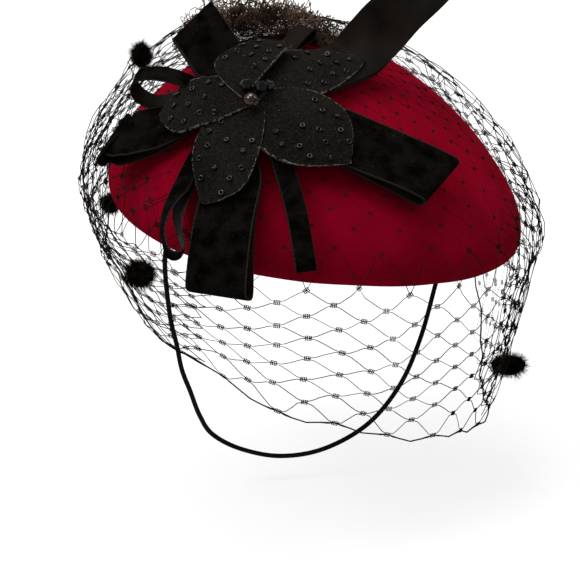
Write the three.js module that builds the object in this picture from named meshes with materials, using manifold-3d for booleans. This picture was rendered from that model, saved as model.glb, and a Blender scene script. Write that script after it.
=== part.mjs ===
// A worn fascinator: a teardrop felt base with a beaded flower, velvet ribbon loops, a spotted
// veil and a chin elastic. Millimetres, +Z up, as it is worn: the face looks along -Y and the
// base's point is at +X. The origin is the top of the hollow, where the base sits on the head.
//
// The base, flower and loops are drawn in the hat's own frame, u toward the point, v toward the
// back of the head and w up, and one group tilts that frame onto the head. The veil, its dots
// and the elastic hang straight down, so they are drawn in the worn frame.
import * as THREE from 'three';
import { mergeVertices } from 'three/addons/utils/BufferGeometryUtils.js';
import Module from 'manifold-3d';

// ---- driving dimensions -------------------------------------------------------------------

const HAT = {
  length: 208, width: 165, taper: 0.12, sharpness: 0.05,
  crown: 40, archLong: 22, archWide: 3.5,
  fullness: 2.0, pointFullness: 1.6, softness: 0.62,
  apexU: -20, felt: 2.5, around: 40,
};
const CROWN_SHARES = [0.16, 0.32, 0.47, 0.61, 0.73, 0.83, 0.91, 0.96, 0.99, 1];
const TILT = new THREE.Euler(degrees(18), degrees(9.5), degrees(-3.5), 'ZYX');
const SEAT = new THREE.Vector3(HAT.apexU, 0, HAT.crown - HAT.felt);
const GAP = 0.3;

// Past this share of the way to the rim, what lies on the crown runs straight on and down.
const DRAPE_SHARE = 0.86;
const DRAPE_FALL = 71;

const FLOWER = { u: -36, v: -17, seat: 7, petal: 1.2, rootPast: 7, levelFadeFrom: 30 };
const LEVEL = FLOWER.petal + GAP;
const SMALL_BEAD = { radius: 1.35, sunk: 0.35 };
// aim: degrees from +u toward +v; left and right: half widths; lean: where the widest place
// lies; blunt: small for a round end; skew: the tip's shift sideways; level: order of stacking.
const PETALS = [
  { name: 'petal_upper_right', aim: 45, length: 60, left: 19, right: 15, lean: 0.9, blunt: 0.6,
    skew: 0, level: 0, beadRows: [2, 3, 3, 2, 1] },
  { name: 'petal_lower_right', aim: -26, length: 50, left: 20, right: 21, lean: 0.9, blunt: 0.5,
    skew: -3, level: 1, beadRows: [2, 3, 3, 3, 2] },
  { name: 'petal_bottom', aim: -99, length: 49, left: 14, right: 17, lean: 0.9, blunt: 0.6,
    skew: 0, level: 2, beadRows: [2, 3, 2, 3, 2] },
  { name: 'petal_left', aim: 183, length: 36, left: 18, right: 16, lean: 0.9, blunt: 0.5,
    skew: 0, level: 3, beadRows: [2, 3, 3, 3] },
  { name: 'petal_top', aim: 94, length: 41, left: 15, right: 14, lean: 0.9, blunt: 0.4,
    skew: -3, level: 4, beadRows: [2, 3, 2, 2] },
];

const RIBBON = {
  thickness: 1.1, rootRadius: 15, rootHeight: 0.3, overNet: 0.9, clearFrom: 24, fullFrom: 40,
  stations: 9, foldSteps: 4,
};
// root and end: the loop's bearing in degrees at the flower and at its fold; reach: distance of
// the fold; slant: how far one corner of the fold lies ahead, as a share of the width; puff:
// space between the two layers; from, rise: where it leaves the crown and how far it climbs;
// lean: degrees that it rolls about its own run.
const LOOPS = [
  { name: 'wide_loop_bottom', width: 29, pinch: 8, root: -97, end: -89.5, reach: 83, slant: 0,
    puff: 4, from: 50, rise: 1, lean: 0 },
  { name: 'wide_loop_left', width: 27, pinch: 8, root: 185, end: 183, reach: 63, slant: 0,
    puff: 5, from: 45, rise: 1, lean: 0 },
  { name: 'wide_loop_upper_left', width: 28, pinch: 8, root: 119, end: 113, reach: 61, slant: 0,
    puff: 5, from: 36, rise: 17, lean: 0 },
  { name: 'wide_loop_upper_right', width: 28, pinch: 8, root: 48, end: 52.5, reach: 98, slant: 0,
    puff: 5, from: 64, rise: 38, lean: 58 },
  { name: 'wide_loop_right', width: 31, pinch: 8, root: -12, end: -5, reach: 89, slant: 0.45,
    puff: 4, from: 50, rise: 2, lean: 0 },
  { name: 'narrow_loop_upper_left', width: 9.5, pinch: 6, root: 150, end: 157, reach: 56, slant: 0,
    puff: 12, from: 30, rise: 7, lean: 0 },
  { name: 'narrow_loop_lower_left', width: 9.5, pinch: 5, root: 216, end: 259, reach: 69, slant: 0,
    puff: 8, from: 44, rise: 0, lean: 60 },
  { name: 'narrow_loop_bottom', width: 9.5, pinch: 6, root: -60, end: -64, reach: 79, slant: 0,
    puff: 4, from: 40, rise: 1, lean: 0 },
  { name: 'narrow_loop_back', width: 9.5, pinch: 6, root: 84, end: 74, reach: 66, slant: 0,
    puff: 5, from: 50, rise: 1, lean: 0 },
];

const CENTRE_BEADS = [
  { name: 'round_bead', du: 0.4, dv: -3.6, radius: 3.5, faceted: false },
  { name: 'faceted_bead_1', du: -2.6, dv: 4.7, radius: 3, faceted: true },
  { name: 'faceted_bead_2', du: 3.7, dv: 3.8, radius: 3, faceted: true },
  { name: 'faceted_bead_3', du: 9.4, dv: 1.6, radius: 2.6, faceted: true },
];

const NET = {
  columns: 14, ringRadius: 25, strand: 2, thickness: 0.8, lift: 2.6,
  crownRows: 4, hangRows: 4, belly: 4,
};
// turn: bearing of the place on the rim; past: how far the net stands off the rim; drop and
// flare: how far the lower edge hangs below the rim and stands out from it.
const VEIL_SECTIONS = [
  { turn: -180, past: 12, drop: 20, flare: -14 },
  { turn: -150, past: 9, drop: 24, flare: -4 },
  { turn: -120, past: 7, drop: 44, flare: 4 },
  { turn: -90, past: 6, drop: 65, flare: 6 },
  { turn: -60, past: 6, drop: 77, flare: 4 },
  { turn: -30, past: 8, drop: 84, flare: -10 },
  { turn: 0, past: 10, drop: 78, flare: -28 },
  { turn: 45, past: 12, drop: 46, flare: -22 },
  { turn: 90, past: 10, drop: 24, flare: -8 },
  { turn: 135, past: 20, drop: 22, flare: -10 },
];
// The scrunched end of the net behind the flower: a wavy frill between two bearings.
const GATHER = {
  from: 118, to: 62, radius: 76, height: 17, thickness: 1.2, lift: 1.3,
  waves: 8, stationsPerWave: 6, swing: 5, rows: 3, footSwing: 0.4, endHeight: 0.45, ragged: 0.18,
};
// turn: bearing on the rim; row: how far down the net's rows, to the nearest strand.
const CHENILLE_DOTS = [
  { name: 'chenille_dot_1', turn: -132.5, row: 5.5, size: [15, 11, 13] },
  { name: 'chenille_dot_2', turn: -6, row: 7.1, size: [19, 11, 12] },
  { name: 'chenille_dot_3', turn: 147, row: 3.4, size: [10, 10, 14] },
  { name: 'chenille_dot_4', turn: -177, row: 7.7, size: [11, 10, 11] },
];
// A dot's core and locks as shares of its width, and its flat side as a share of its depth.
const TUFT = { core: 0.82, locks: 11, spiral: 137.5, lockRadius: 0.16, lockLength: 0.3, seat: 0.36 };
const ELASTIC = { diameter: 2.4, sides: 8, steps: 56 };
// Where the strap is sewn inside the hollow, left and right of the head.
const ELASTIC_ENDS = [{ turn: -132, share: 0.95 }, { turn: 12, share: 0.72 }];
// The strap's route over the cheeks and under the chin, between the two ends.
const ELASTIC_ROUTE = [
  [-60, -43.5, -64], [-58.5, -45, -92], [-55.6, -45, -109], [-53.6, -44, -123], [-50, -42, -136],
  [-46, -38, -152], [-40, -33, -166], [-26, -29, -177], [-6, -26, -183], [16, -22, -181],
  [38, -16, -170], [54, -8, -152], [64, 0, -130], [71, 7, -104], [76, 11, -80],
];

const FINISHES = {
  felt: finish('felt', 0x9b0f23, 0.95),
  petal: finish('petal', 0x1b1a1a, 0.95),
  velvet: finish('velvet', 0x070707, 0.9),
  bead: finish('bead', 0x050505, 0.15),
  net: finish('net', 0x0c0b0b, 0.8),
  chenille: finish('chenille', 0x0b0908, 1),
  elastic: finish('elastic', 0x101010, 0.7),
};

const wasm = await Module();
wasm.setup();

// ---- small helpers ------------------------------------------------------------------------

function degrees(angle) {
  return THREE.MathUtils.degToRad(angle);
}

function finish(name, colour, roughness) {
  return new THREE.MeshStandardMaterial({ name, color: colour, roughness, metalness: 0 });
}

function smooth(low, high, x) {
  return THREE.MathUtils.smoothstep(x, low, high);
}

// Value of a named column at a bearing, eased between the two rows beside it.
function sectionValue(sections, column, turn) {
  const count = sections.length;
  const angle = ((turn + 540) % 360) - 180;
  let row = count - 1;
  while (sections[row].turn > angle) row -= 1;
  const here = sections[row];
  const next = sections[(row + 1) % count];
  const span = (next.turn - here.turn + 360) % 360;
  const share = (angle - here.turn) / span;
  const eased = (1 - Math.cos(Math.PI * share)) / 2;
  return here[column] + (next[column] - here[column]) * eased;
}

// A closed body from points and triangles.
function body(points, triangles) {
  const geometry = new THREE.BufferGeometry();
  const flat = points.flatMap((point) => [point.x, point.y, point.z]);
  geometry.setAttribute('position', new THREE.Float32BufferAttribute(flat, 3));
  geometry.setIndex(triangles.flat());
  geometry.computeVertexNormals();
  return geometry;
}

// A thin plate between a front grid and a back grid of points, with its four edges closed.
function plate(front, back) {
  const rows = front.length;
  const columns = front[0].length;
  const points = [...front.flat(), ...back.flat()];
  const triangles = [];
  const at = ([side, row, column]) => (side * rows + row) * columns + column;
  const quad = (...corners) => {
    const [a, b, c, d] = corners.map(at);
    triangles.push([a, c, b], [a, d, c]);
  };
  for (let row = 0; row < rows - 1; row += 1) {
    const next = row + 1;
    for (let column = 0; column < columns - 1; column += 1) {
      const beside = column + 1;
      quad([0, row, column], [0, row, beside], [0, next, beside], [0, next, column]);
      quad([1, row, column], [1, next, column], [1, next, beside], [1, row, beside]);
    }
    const last = columns - 1;
    quad([0, row, 0], [0, next, 0], [1, next, 0], [1, row, 0]);
    quad([0, next, last], [0, row, last], [1, row, last], [1, next, last]);
  }
  for (let column = 0; column < columns - 1; column += 1) {
    const beside = column + 1;
    const last = rows - 1;
    quad([0, 0, beside], [0, 0, column], [1, 0, column], [1, 0, beside]);
    quad([0, last, column], [0, last, beside], [1, last, beside], [1, last, column]);
  }
  return body(points, triangles);
}

function toSolid(geometry) {
  const bare = geometry.clone();
  bare.deleteAttribute('normal');
  bare.deleteAttribute('uv');
  const merged = mergeVertices(bare, 1e-4);
  return new wasm.Manifold(new wasm.Mesh({
    numProp: 3,
    vertProperties: merged.attributes.position.array,
    triVerts: Uint32Array.from(merged.index.array),
  }));
}

function fromSolid(solid) {
  const mesh = solid.getMesh();
  const geometry = new THREE.BufferGeometry();
  geometry.setAttribute('position', new THREE.BufferAttribute(new Float32Array(mesh.vertProperties), 3));
  geometry.setIndex(new THREE.BufferAttribute(new Uint32Array(mesh.triVerts), 1));
  geometry.computeVertexNormals();
  return geometry;
}

function piece(name, geometry, material) {
  const mesh = new THREE.Mesh(geometry, material);
  mesh.name = name;
  return mesh;
}

// ---- the crown's surface ------------------------------------------------------------------

function rimPoint(turn) {
  const c = Math.cos(turn);
  const u = (HAT.length / 2) * c;
  const v = (HAT.width / 2) * Math.sin(turn) * (1 - HAT.taper * c - HAT.sharpness * Math.cos(2 * turn));
  const w = -HAT.archLong * ((2 * u) / HAT.length) ** 2 + HAT.archWide * ((2 * v) / HAT.width) ** 2;
  return new THREE.Vector3(u, v, w);
}

function crownHeight(rimHeight, turn, share, height) {
  const pointShare = ((1 + Math.cos(turn)) / 2) ** 4;
  const power = HAT.fullness + (HAT.pointFullness - HAT.fullness) * pointShare;
  return rimHeight * share ** 2 + height * (1 - share ** power) ** HAT.softness;
}

// A place on the crown, or on the same crown shrunk by inset.
function crownPoint(turn, share, inset = 0) {
  const rim = rimPoint(turn);
  const size = Math.hypot(rim.x - HAT.apexU, rim.y);
  const scale = share * (1 - inset / size);
  const w = crownHeight(rim.z, turn, share, HAT.crown - inset);
  return new THREE.Vector3(HAT.apexU + (rim.x - HAT.apexU) * scale, rim.y * scale, w);
}

// The rim's parameter and the share of the way to the rim under a place in the plan.
function planShare(u, v) {
  const bearing = Math.atan2(v, u - HAT.apexU);
  let low = -Math.PI;
  let high = Math.PI;
  for (let step = 0; step < 40; step += 1) {
    const middle = (low + high) / 2;
    const rim = rimPoint(middle);
    if (Math.atan2(rim.y, rim.x - HAT.apexU) < bearing) low = middle;
    else high = middle;
  }
  const rim = rimPoint(low);
  const share = Math.hypot(u - HAT.apexU, v) / Math.hypot(rim.x - HAT.apexU, rim.y);
  return { turn: low, share, rimHeight: rim.z };
}

// Height of what lies on the crown: the crown itself, then straight on past the shoulder.
function coverHeight(u, v) {
  const { turn, share, rimHeight } = planShare(u, v);
  const onCrown = crownHeight(rimHeight, turn, Math.min(share, DRAPE_SHARE), HAT.crown);
  return onCrown - DRAPE_FALL * Math.max(0, share - DRAPE_SHARE);
}

function coverPoint(u, v, height) {
  const step = 0.5;
  const slopeU = (coverHeight(u + step, v) - coverHeight(u - step, v)) / (2 * step);
  const slopeV = (coverHeight(u, v + step) - coverHeight(u, v - step)) / (2 * step);
  const normal = new THREE.Vector3(-slopeU, -slopeV, 1).normalize();
  return new THREE.Vector3(u, v, coverHeight(u, v)).addScaledVector(normal, height);
}

// ---- the base -----------------------------------------------------------------------------

function feltBase() {
  const ring = (share, inset, sink) => Array.from({ length: HAT.around }, (_, index) => {
    const point = crownPoint((2 * Math.PI * index) / HAT.around, share, inset);
    point.z -= sink;
    return point;
  });
  const half = HAT.felt / 2;
  const edge = [45, 90, 135].map((angle) => ring(
    1, half * (1 - Math.cos(degrees(angle))), half * Math.sin(degrees(angle)),
  ));
  const outer = CROWN_SHARES.map((share) => ring(share, 0, 0));
  const inner = [...CROWN_SHARES].reverse().map((share) => ring(share, HAT.felt, 0));
  const rings = [...outer, ...edge, ...inner];
  const points = [...rings.flat(), crownPoint(0, 0, 0), crownPoint(0, 0, HAT.felt)];
  const top = points.length - 2;
  const under = points.length - 1;
  const triangles = [];
  for (let index = 0; index < HAT.around; index += 1) {
    const next = (index + 1) % HAT.around;
    triangles.push([top, index, next]);
    for (let row = 0; row < rings.length - 1; row += 1) {
      const a = row * HAT.around;
      const b = a + HAT.around;
      triangles.push([a + index, b + index, b + next], [a + index, b + next, a + next]);
    }
    const last = (rings.length - 1) * HAT.around;
    triangles.push([under, last + next, last + index]);
  }
  return piece('felt_base', body(points, triangles), FINISHES.felt);
}

// ---- the flower ---------------------------------------------------------------------------

function petalPoint(petal, along, across, lift) {
  const span = petal.length + FLOWER.rootPast;
  const x = along * span - FLOWER.rootPast;
  const side = across < 0 ? petal.right : petal.left;
  const broad = Math.sin(Math.PI * along ** petal.lean) ** petal.blunt;
  const y = across * side * broad + petal.skew * along ** 2;
  const aim = degrees(petal.aim);
  const u = FLOWER.u + x * Math.cos(aim) - y * Math.sin(aim);
  const v = FLOWER.v + x * Math.sin(aim) + y * Math.cos(aim);
  const fade = 1 - 0.7 * smooth(FLOWER.levelFadeFrom, FLOWER.levelFadeFrom + 22, Math.hypot(x, y));
  return coverPoint(u, v, FLOWER.seat + petal.level * LEVEL * fade + lift);
}

function petalFelt(petal) {
  const alongShares = [0.02, 0.1, 0.22, 0.36, 0.5, 0.64, 0.77, 0.88, 0.955, 0.99];
  const acrossShares = [-1, -0.6, -0.2, 0.2, 0.6, 1];
  const grid = (lift) => alongShares.map((along) => acrossShares.map(
    (across) => petalPoint(petal, along, across, lift),
  ));
  return toSolid(plate(grid(FLOWER.petal), grid(0)));
}

// The petals, each with its small beads sewn on where no petal above covers it.
function petalPieces() {
  const felts = PETALS.map(petalFelt);
  return PETALS.map((petal, index) => {
    const above = felts.slice(index + 1);
    const sewn = smallBeadPlaces(petal)
      .map(([along, across]) => smallBead(petalPoint(petal, along, across, FLOWER.petal)))
      .filter((bead) => above.every((felt) => felt.intersect(bead).isEmpty()));
    const solid = sewn.reduce((whole, bead) => whole.add(bead), felts[index]);
    return piece(petal.name, fromSolid(solid), FINISHES.petal);
  });
}

// The sewn beads stand in staggered rows across the petal.
function smallBeadPlaces(petal) {
  return petal.beadRows.flatMap((count, row) => {
    const along = 0.42 + (0.5 * row) / (petal.beadRows.length - 0.5);
    const shift = row % 2 === 0 ? 0.08 : -0.08;
    return Array.from({ length: count }, (_, index) => {
      const across = count === 1 ? 0 : -0.62 + (1.24 * index) / (count - 1);
      return [along, across + shift];
    });
  });
}

function smallBead(place) {
  const shape = new THREE.OctahedronGeometry(SMALL_BEAD.radius, 0);
  shape.rotateY(Math.PI / 4);
  shape.translate(place.x, place.y, place.z + SMALL_BEAD.radius / 2 - SMALL_BEAD.sunk);
  return toSolid(shape);
}

function centreBead(bead) {
  const height = FLOWER.seat + 4 * LEVEL + FLOWER.petal + GAP + bead.radius;
  const place = coverPoint(FLOWER.u + bead.du, FLOWER.v + bead.dv, height);
  const shape = bead.faceted
    ? new THREE.IcosahedronGeometry(bead.radius, 1)
    : new THREE.SphereGeometry(bead.radius, 10, 7);
  const mesh = piece(bead.name, shape, FINISHES.bead);
  mesh.position.copy(place);
  return mesh;
}

// ---- the ribbon loops ---------------------------------------------------------------------

// Middle of the loop's run at a distance from the flower's centre, with its run, its width's
// direction and the direction in which its layers are stacked.
function loopFrame(loop, distance) {
  const place = (reach) => {
    const share = (reach - RIBBON.rootRadius) / (loop.reach - RIBBON.rootRadius);
    const bearing = degrees(loop.root + (loop.end - loop.root) * share);
    const u = FLOWER.u + Math.cos(bearing) * reach;
    const v = FLOWER.v + Math.sin(bearing) * reach;
    const climb = loop.rise * Math.max(0, (reach - loop.from) / (loop.reach - loop.from)) ** 1.4;
    const under = planShare(u, v);
    const overNet = netLift(under.turn, Math.min(1, under.share)) + RIBBON.overNet;
    const settled = smooth(RIBBON.rootRadius, RIBBON.clearFrom, reach);
    const lie = RIBBON.rootHeight + (overNet - RIBBON.rootHeight) * settled;
    return coverPoint(u, v, lie + climb);
  };
  const run = place(distance + 0.5).sub(place(distance - 0.5)).normalize();
  const { x, y } = place(distance);
  const upright = coverPoint(x, y, 1).sub(coverPoint(x, y, 0)).normalize();
  const across = new THREE.Vector3().crossVectors(upright, run).normalize();
  const roll = degrees(loop.lean) * smooth(loop.from, loop.from + 20, distance);
  across.applyAxisAngle(run, roll);
  const stack = new THREE.Vector3().crossVectors(run, across).normalize();
  const opened = smooth(RIBBON.rootRadius, RIBBON.fullFrom, distance);
  const width = loop.pinch + (loop.width - loop.pinch) * opened;
  const middle = place(distance).addScaledVector(upright, (width / 2) * Math.abs(Math.sin(roll)));
  return { middle, run, across, stack, width };
}

function loopPiece(loop) {
  const half = RIBBON.thickness / 2;
  const closed = RIBBON.thickness + GAP;
  const reachOfFold = loop.reach - loop.puff / 2;
  const front = [];
  const back = [];
  const station = (distance, offset, outward, bulge) => {
    const { middle, run, across, stack, width } = loopFrame(loop, distance);
    const centre = middle.clone().addScaledVector(stack, offset + half).addScaledVector(run, bulge);
    const edge = (side, skin) => centre.clone()
      .addScaledVector(across, (side * width) / 2)
      .addScaledVector(run, side * loop.slant * (width / 2) * smooth(30, loop.reach, distance))
      .addScaledVector(stack, skin * half * outward.up)
      .addScaledVector(run, skin * half * outward.forward);
    front.push([edge(1, 1), edge(-1, 1)]);
    back.push([edge(1, -1), edge(-1, -1)]);
  };
  const gapAt = (distance) => (
    closed + (loop.puff - closed) * smooth(loop.from - 10, reachOfFold, distance)
  );
  const distances = Array.from({ length: RIBBON.stations }, (_, index) => (
    RIBBON.rootRadius + ((reachOfFold - RIBBON.rootRadius) * index) / (RIBBON.stations - 1)
  ));
  for (const distance of distances) {
    station(distance, 0, { up: -1, forward: 0 }, 0);
  }
  for (let step = 1; step < RIBBON.foldSteps; step += 1) {
    const angle = (Math.PI * step) / RIBBON.foldSteps;
    const offset = (loop.puff / 2) * (1 - Math.cos(angle));
    const outward = { up: -Math.cos(angle), forward: Math.sin(angle) };
    station(reachOfFold, offset, outward, (loop.puff / 2) * Math.sin(angle));
  }
  for (const distance of distances.reverse()) {
    station(distance, gapAt(distance), { up: 1, forward: 0 }, 0);
  }
  return piece(loop.name, plate(front, back), FINISHES.velvet);
}

// ---- the veil -----------------------------------------------------------------------------

function worn(point) {
  return point.clone().sub(SEAT).applyEuler(TILT);
}

// How far the net stands off the felt at a share of the way to the rim.
function netLift(turn, share) {
  const past = sectionValue(VEIL_SECTIONS, 'past', THREE.MathUtils.radToDeg(turn));
  return NET.lift + (past - NET.lift) * smooth(0.7, 1, share);
}

// A point of the crown's net in the hat's frame, pushed off the felt along its normal.
function netOnCrown(u, v) {
  const { turn, share } = planShare(u, v);
  const held = Math.min(share, 1);
  const here = crownPoint(turn, held);
  const inward = crownPoint(turn, Math.max(0, held - 0.02));
  const down = held === 1 ? new THREE.Vector3(0, 0, -1) : here.clone().sub(inward);
  const beside = Math.max(held, 0.05);
  const sideways = crownPoint(turn + 0.05, beside).sub(crownPoint(turn - 0.05, beside));
  const normal = new THREE.Vector3().crossVectors(down, sideways).normalize();
  return here.addScaledVector(normal, netLift(turn, held));
}

// The net's middle surface in the worn frame. Column: the rim's parameter that it crosses.
// Row: 0 at the ring around the flower, crownRows at the rim, then down to the lower edge.
function netPoint(turn, row) {
  const rim = rimPoint(turn);
  const bearing = Math.atan2(rim.y - FLOWER.v, rim.x - FLOWER.u);
  if (row <= NET.crownRows) {
    const share = row / NET.crownRows;
    const u = FLOWER.u + NET.ringRadius * Math.cos(bearing);
    const v = FLOWER.v + NET.ringRadius * Math.sin(bearing);
    return worn(netOnCrown(u + (rim.x - u) * share, v + (rim.y - v) * share));
  }
  const top = worn(netOnCrown(rim.x, rim.y));
  const outward = top.clone().setZ(0).normalize();
  const share = (row - NET.crownRows) / NET.hangRows;
  const angle = THREE.MathUtils.radToDeg(turn);
  const drop = sectionValue(VEIL_SECTIONS, 'drop', angle);
  const flare = sectionValue(VEIL_SECTIONS, 'flare', angle);
  const out = flare * share + NET.belly * Math.sin(Math.PI * share);
  return top.addScaledVector(outward, out).add(new THREE.Vector3(0, 0, -drop * share));
}

// The net's two faces at a knot or a place between knots.
function netFaces(turn, row) {
  const rows = NET.crownRows + NET.hangRows;
  const step = 0.05;
  const before = netPoint(turn, Math.max(0, row - step));
  const after = netPoint(turn, Math.min(rows, row + step));
  const sideways = netPoint(turn + step, row).sub(netPoint(turn - step, row));
  const normal = new THREE.Vector3().crossVectors(after.sub(before), sideways).normalize();
  const middle = netPoint(turn, row);
  return [
    middle.clone().addScaledVector(normal, NET.thickness / 2),
    middle.clone().addScaledVector(normal, -NET.thickness / 2),
  ];
}

// Diamonds between knots that shift by half a column from row to row, each cut through. The
// triangles along the ring and the lower edge close the net with a plain border.
function veilNet() {
  const rows = NET.crownRows + NET.hangRows;
  const pitch = (2 * Math.PI) / NET.columns;
  const points = [];
  const triangles = [];
  const knots = new Map();
  const knot = (row, halfColumn) => {
    const wrapped = (halfColumn + 2 * NET.columns) % (2 * NET.columns);
    const key = row * 1000 + wrapped;
    if (!knots.has(key)) {
      knots.set(key, points.length);
      points.push(...netFaces((wrapped / 2) * pitch - Math.PI, row));
    }
    return knots.get(key);
  };
  const quad = (a, b, c, d) => triangles.push([a, b, c], [a, c, d]);
  const cell = (row, centre) => {
    const corners = [[row, centre - 1], [row + 1, centre], [row, centre + 1], [row - 1, centre]]
      .filter(([at]) => at >= 0 && at <= rows)
      .map(([at, column]) => knot(at, column));
    const count = corners.length;
    const border = { 0: 2, [rows]: 0 }[row];
    const open = [0, 1].map((face) => {
      const outline = corners.map((corner) => points[corner + face]);
      const middle = outline.reduce((sum, point) => sum.add(point), new THREE.Vector3());
      middle.divideScalar(count);
      let area = 0;
      let around = 0;
      outline.forEach((point, index) => {
        const next = outline[(index + 1) % count];
        const side = next.clone().sub(point);
        around += side.length();
        area += side.cross(middle.clone().sub(point)).length() / 2;
      });
      const scale = Math.max(0.1, 1 - (NET.strand / 2) / ((2 * area) / around));
      return outline.map((point) => {
        points.push(middle.clone().lerp(point, scale));
        return points.length - 1;
      });
    });
    for (let index = 0; index < count; index += 1) {
      const next = (index + 1) % count;
      quad(corners[index], corners[next], open[0][next], open[0][index]);
      quad(corners[index] + 1, open[1][index], open[1][next], corners[next] + 1);
      quad(open[0][index], open[0][next], open[1][next], open[1][index]);
      if (index === border) {
        quad(corners[index], corners[index] + 1, corners[next] + 1, corners[next]);
      }
    }
  };
  for (let row = 0; row <= rows; row += 1) {
    for (let column = 0; column < NET.columns; column += 1) {
      cell(row, 2 * column + ((row + 1) % 2));
    }
  }
  return piece('veil_net', body(points, triangles), FINISHES.net);
}

// The scrunched end of the netting, a wavy frill that stands along the back of the crown.
function netGather() {
  const stations = GATHER.waves * GATHER.stationsPerWave;
  const foot = NET.thickness / 2 + GATHER.lift;
  const skinPoint = (share, level, skin) => {
    const phase = Math.PI * GATHER.waves * share;
    const flare = GATHER.footSwing + (1 - GATHER.footSwing) * level;
    const distance = GATHER.radius + GATHER.swing * Math.sin(2 * phase) * flare + skin;
    const angle = degrees(GATHER.from + (GATHER.to - GATHER.from) * share);
    const ends = GATHER.endHeight + (1 - GATHER.endHeight) * Math.sin(Math.PI * share);
    const ragged = 1 + GATHER.ragged * Math.sin(5 * phase);
    const u = FLOWER.u + distance * Math.cos(angle);
    const v = FLOWER.v + distance * Math.sin(angle);
    const place = netOnCrown(u, v);
    place.z += foot + GATHER.height * level * ends * ragged;
    return place;
  };
  const grid = (skin) => Array.from({ length: GATHER.rows + 1 }, (_, row) => (
    Array.from({ length: stations + 1 }, (__, index) => (
      skinPoint(index / stations, row / GATHER.rows, skin)
    ))
  ));
  const half = GATHER.thickness / 2;
  return piece('net_gather', plate(grid(half), grid(-half)), FINISHES.net);
}

// ---- chenille dots and the elastic --------------------------------------------------------

// The place where the strand nearest to a wanted row crosses a bearing, on its straight run
// between two knots, and the way out of the net there.
function strandSeat(turn, wanted) {
  const half = Math.PI / NET.columns;
  const crossings = [1, -1].map((slant) => {
    const offset = (slant * (turn + Math.PI)) / half;
    return { slant, row: offset + 2 * Math.round((wanted - offset) / 2) };
  });
  crossings.sort((a, b) => Math.abs(a.row - wanted) - Math.abs(b.row - wanted));
  const { slant, row } = crossings[0];
  const upper = Math.floor(row);
  const share = row - upper;
  const above = netPoint(turn - slant * half * share, upper);
  const below = netPoint(turn + slant * half * (1 - share), upper + 1);
  const strand = below.clone().sub(above).normalize();
  const [outer, inner] = netFaces(turn, row);
  const outward = outer.sub(inner).projectOnPlane(strand).normalize();
  return { place: above.lerp(below, share), outward };
}

// A tuft of pointed locks around a core, glued to a strand by its flat side.
function chenilleDot(dot) {
  const [width, depth, height] = dot.size;
  const core = new THREE.IcosahedronGeometry(0.5, 1);
  core.scale(width * TUFT.core, depth * TUFT.core, height * TUFT.core);
  let solid = toSolid(core);
  for (let index = 0; index < TUFT.locks; index += 1) {
    const z = 1 - (2 * (index + 0.5)) / TUFT.locks;
    const flat = Math.sqrt(1 - z * z);
    const angle = degrees(TUFT.spiral * index);
    const aim = new THREE.Vector3(Math.cos(angle) * flat, Math.sin(angle) * flat, z);
    const lock = new THREE.ConeGeometry(width * TUFT.lockRadius, width * TUFT.lockLength, 5);
    lock.applyQuaternion(new THREE.Quaternion().setFromUnitVectors(new THREE.Vector3(0, 1, 0), aim));
    const middle = aim.clone().multiply(new THREE.Vector3(width, depth, height)).multiplyScalar(0.4);
    lock.translate(middle.x, middle.y, middle.z);
    solid = solid.add(toSolid(lock));
  }
  const seat = depth * TUFT.seat;
  const shape = fromSolid(solid.trimByPlane([0, -1, 0], -seat));
  const { place, outward } = strandSeat(degrees(dot.turn), dot.row);
  const across = new THREE.Vector3(-outward.y, outward.x, 0).normalize();
  const upright = new THREE.Vector3().crossVectors(outward, across);
  const inward = outward.clone().negate();
  const mesh = piece(dot.name, shape, FINISHES.chenille);
  mesh.quaternion.setFromRotationMatrix(new THREE.Matrix4().makeBasis(across, inward, upright));
  mesh.position.copy(place).addScaledVector(outward, seat + NET.thickness / 2 + GAP);
  return mesh;
}

function chinElastic() {
  const [start, finishPoint] = ELASTIC_ENDS.map(({ turn, share }) => (
    worn(crownPoint(degrees(turn), share, HAT.felt + GAP + ELASTIC.diameter / 2))
  ));
  const between = ELASTIC_ROUTE.map((point) => new THREE.Vector3(...point));
  const route = new THREE.CatmullRomCurve3([start, ...between, finishPoint]);
  const section = new THREE.Shape();
  for (let side = 0; side < ELASTIC.sides; side += 1) {
    const angle = (2 * Math.PI * (side + 0.5)) / ELASTIC.sides;
    const radius = ELASTIC.diameter / 2;
    const method = side === 0 ? 'moveTo' : 'lineTo';
    section[method](radius * Math.cos(angle), radius * Math.sin(angle));
  }
  section.closePath();
  const tube = new THREE.ExtrudeGeometry(section, {
    steps: ELASTIC.steps, extrudePath: route, bevelEnabled: false, curveSegments: 1,
  });
  return piece('chin_elastic', tube, FINISHES.elastic);
}

// ---- the whole ----------------------------------------------------------------------------

const onHat = new THREE.Group();
onHat.rotation.copy(TILT);
onHat.position.copy(SEAT.clone().negate().applyEuler(TILT));
onHat.add(feltBase());
onHat.add(...petalPieces());
LOOPS.forEach((loop) => onHat.add(loopPiece(loop)));
CENTRE_BEADS.forEach((bead) => onHat.add(centreBead(bead)));
onHat.add(netGather());

const group = new THREE.Group();
group.add(onHat);
group.add(veilNet());
CHENILLE_DOTS.forEach((dot) => group.add(chenilleDot(dot)));
group.add(chinElastic());

export default group;
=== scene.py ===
"""Dress the frame of a worn fascinator.

The felt base, the flower and the ribbon loops are worked out in the hat's own frame: u toward the
base's point, v toward the back of the head, w up, in millimetres. The crown turns that frame onto
the head and gives metres. The veil, the dots and the chin strap hang straight down as worn.
"""

import logging
import math
import random
from collections.abc import Callable, Iterable, Sequence
from dataclasses import dataclass, field
from enum import Enum

import bpy
import numpy as np
from mathutils import Euler, Matrix, Vector, noise


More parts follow.
